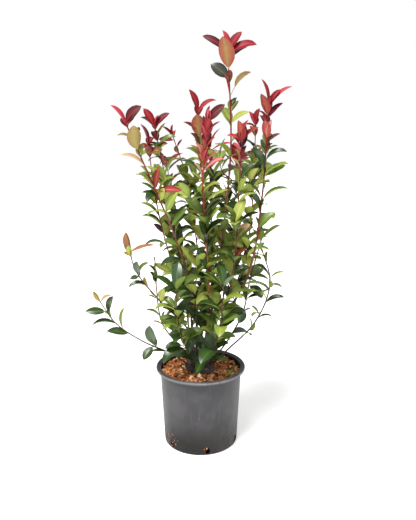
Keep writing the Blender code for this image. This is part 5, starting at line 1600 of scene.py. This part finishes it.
rng = random.Random(SEEDLING_SEED)
for k, (right_of, behind) in enumerate(SEEDLINGS):
    for leaf in seedling(right_of, behind, rng):
        leaf["form"] = form_of(rng, 0.42, 0.35)
        leaves_of["lime" if k % 2 else "fresh"].append(leaf)
for name, parts in grown.items():
    rng = random.Random(STEMS[name]["seed"] * 7 + 1)
    for turn, (path, old, young) in enumerate(parts):
        spurs = [] if "apart" in STEMS[name] else spur_leaves(path, old, turn, rng)
        for k, leaf in enumerate(old + spurs):
            height = min(max((leaf["base"][2] - GREEN_FROM) / GREEN_RISE, 0), 1)
            leaf["form"] = form_of(rng, 0.50 - 0.10 * height, 0.35)
            leaf["tint"] = green_tint(height, rng)
            if leaf["base"][2] < DARK_BELOW:
                # Every third of these is sage, whose greyer green stands partly for a painted sheen.
                leaf["tint"] = "deep" if k % 3 else "sage"
            if name in SHADED:
                leaf["tint"] = "shade"
        if turn == 0 and name in TOP_GREENS:
            greens = TOP_GREENS[name].split()
            for leaf, tint in zip(old[-len(greens):], greens):
                leaf["tint"] = tint
        for leaf in old + spurs:
            leaves_of[leaf["tint"]].append(leaf)
        tints = TIP_TINTS.get(name, "") if turn == 0 else TWIG_TINTS
        for k, leaf in enumerate(young):
            leaf["form"] = form_of(rng, leaf.get("width", 0.38), leaf.get("fold", 0.25))
            leaves_of[leaf.get("tint") or tints.split()[k % len(tints.split())]].append(leaf)
print("spurs:", len(spur_limbs), "leaves:", sum(len(leaves) for leaves in leaves_of.values()))

# %% The spurs
spur_grids = []
for k, spur in enumerate(spur_limbs):
    grid, s = limb_grid(spur, 0.0, spur.length, [], k, 0.6)
    spur_grids.append((grid, 0.15 + 0.2 * s / spur.length))
spurs_piece = limbs_piece("spurs", spur_grids, bark)
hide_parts(*masses)

# %% The leaves
for tint, leaves in leaves_of.items():
    if not leaves:
        continue
    points = leaf_points(leaves)
    count = points.shape[1] * points.shape[2]
    faces = []
    for k in range(len(leaves)):
        faces.extend(tuple(corner + k * count for corner in face) for face in ONE_LEAF)
    each = np.zeros(points.shape[:3])
    fields = {
        "along": each + STATIONS[:, None],
        "edge": each + np.append(np.abs(ACROSS), 0),
        "own": each + np.random.default_rng(len(leaves)).uniform(0, 1, len(leaves))[:, None, None],
    }
    finishes = leaf_finishes[tint]
    piece = surface(f"leaves_{tint}", points, faces, finishes, ONE_FINISH * len(leaves), fields=fields)
    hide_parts(*masses)

# %% [markdown]
# ## The studio
# The plant was photographed against plain white, in soft light from all round with a stronger light from
# above. A pale floor, a white world and two large lamps do the same.

# %% The studio
floor_finish = Finish("studio_floor", Roughness=0.8, Emission_Strength=0.35)
floor_finish.shader.inputs["Emission Color"].default_value = (1.0, 1.0, 1.0, 1.0)
haze = floor_finish.noise(0.5, 2.0)
floor_finish.set("Base Color", floor_finish.mix(haze, rgb(250, 250, 250), rgb(255, 255, 255)))
FLOOR_RADIUS = 9.0
FLOOR_RINGS = 12
FLOOR_AROUND = 72
FLOOR_DROP = 0.0002
WORLD_LIGHT = 0.45
SUN_LIGHT = 3.4
SUN_SIZE = math.radians(25)
SUN_WAY = Vector((0.30, 0.42, -1.0))
PLANT_MIDDLE = Vector((0, 0, 0.6))


def floor_disc():
    """A flat disc just under the pot, as rings about the axis."""
    radius = np.linspace(0, FLOOR_RADIUS, FLOOR_RINGS)[:, None]
    bearing = np.linspace(0, math.tau, FLOOR_AROUND, endpoint=False)
    x, y = radius * np.cos(bearing), radius * np.sin(bearing)
    points = np.stack([x, y, 0 * x - FLOOR_DROP], axis=-1).reshape(-1, 3)
    points, faces = merged_poles(points, grid_faces(FLOOR_RINGS, FLOOR_AROUND, True))
    mesh = bpy.data.meshes.new("studio_floor")
    mesh.from_pydata(points.tolist(), [], faces)
    mesh.materials.append(floor_finish.material)
    return placed("studio_floor", mesh)


floor_disc()


def soft_lamp(name, place, size, power):
    """A square area lamp that looks at the middle of the plant."""
    lamp = bpy.data.lights.new(name, "AREA")
    lamp.size = size
    lamp.energy = power
    holder = placed(name, lamp)
    holder.location = place
    aim = PLANT_MIDDLE - Vector(place)
    holder.rotation_euler = aim.to_track_quat("-Z", "Y").to_euler()


soft_lamp("fill", (2.2, -1.6, 1.6), 1.6, 20)
soft_lamp("sheen", (-1.5, -1.2, 2.3), 0.9, 26)
sun = bpy.data.lights.new("key", "SUN")
sun.energy = SUN_LIGHT
sun.angle = SUN_SIZE
key = placed("key", sun)
key.rotation_euler = SUN_WAY.to_track_quat("-Z", "Y").to_euler()
world = bpy.data.worlds.new("white")
world.use_nodes = True
nodes, links = world.node_tree.nodes, world.node_tree.links
nodes["Background"].inputs["Color"].default_value = (1.0, 1.0, 1.0, 1.0)
nodes["Background"].inputs["Strength"].default_value = WORLD_LIGHT
seen = nodes.new("ShaderNodeBackground")
seen.inputs["Color"].default_value = (1.0, 1.0, 1.0, 1.0)
path_kind = nodes.new("ShaderNodeLightPath")
choice = nodes.new("ShaderNodeMixShader")
links.new(path_kind.outputs["Is Camera Ray"], choice.inputs[0])
links.new(nodes["Background"].outputs[0], choice.inputs[1])
links.new(seen.outputs[0], choice.inputs[2])
links.new(choice.outputs[0], nodes["World Output"].inputs["Surface"])
bpy.context.scene.world = world
bpy.context.scene.view_settings.view_transform = "Standard"
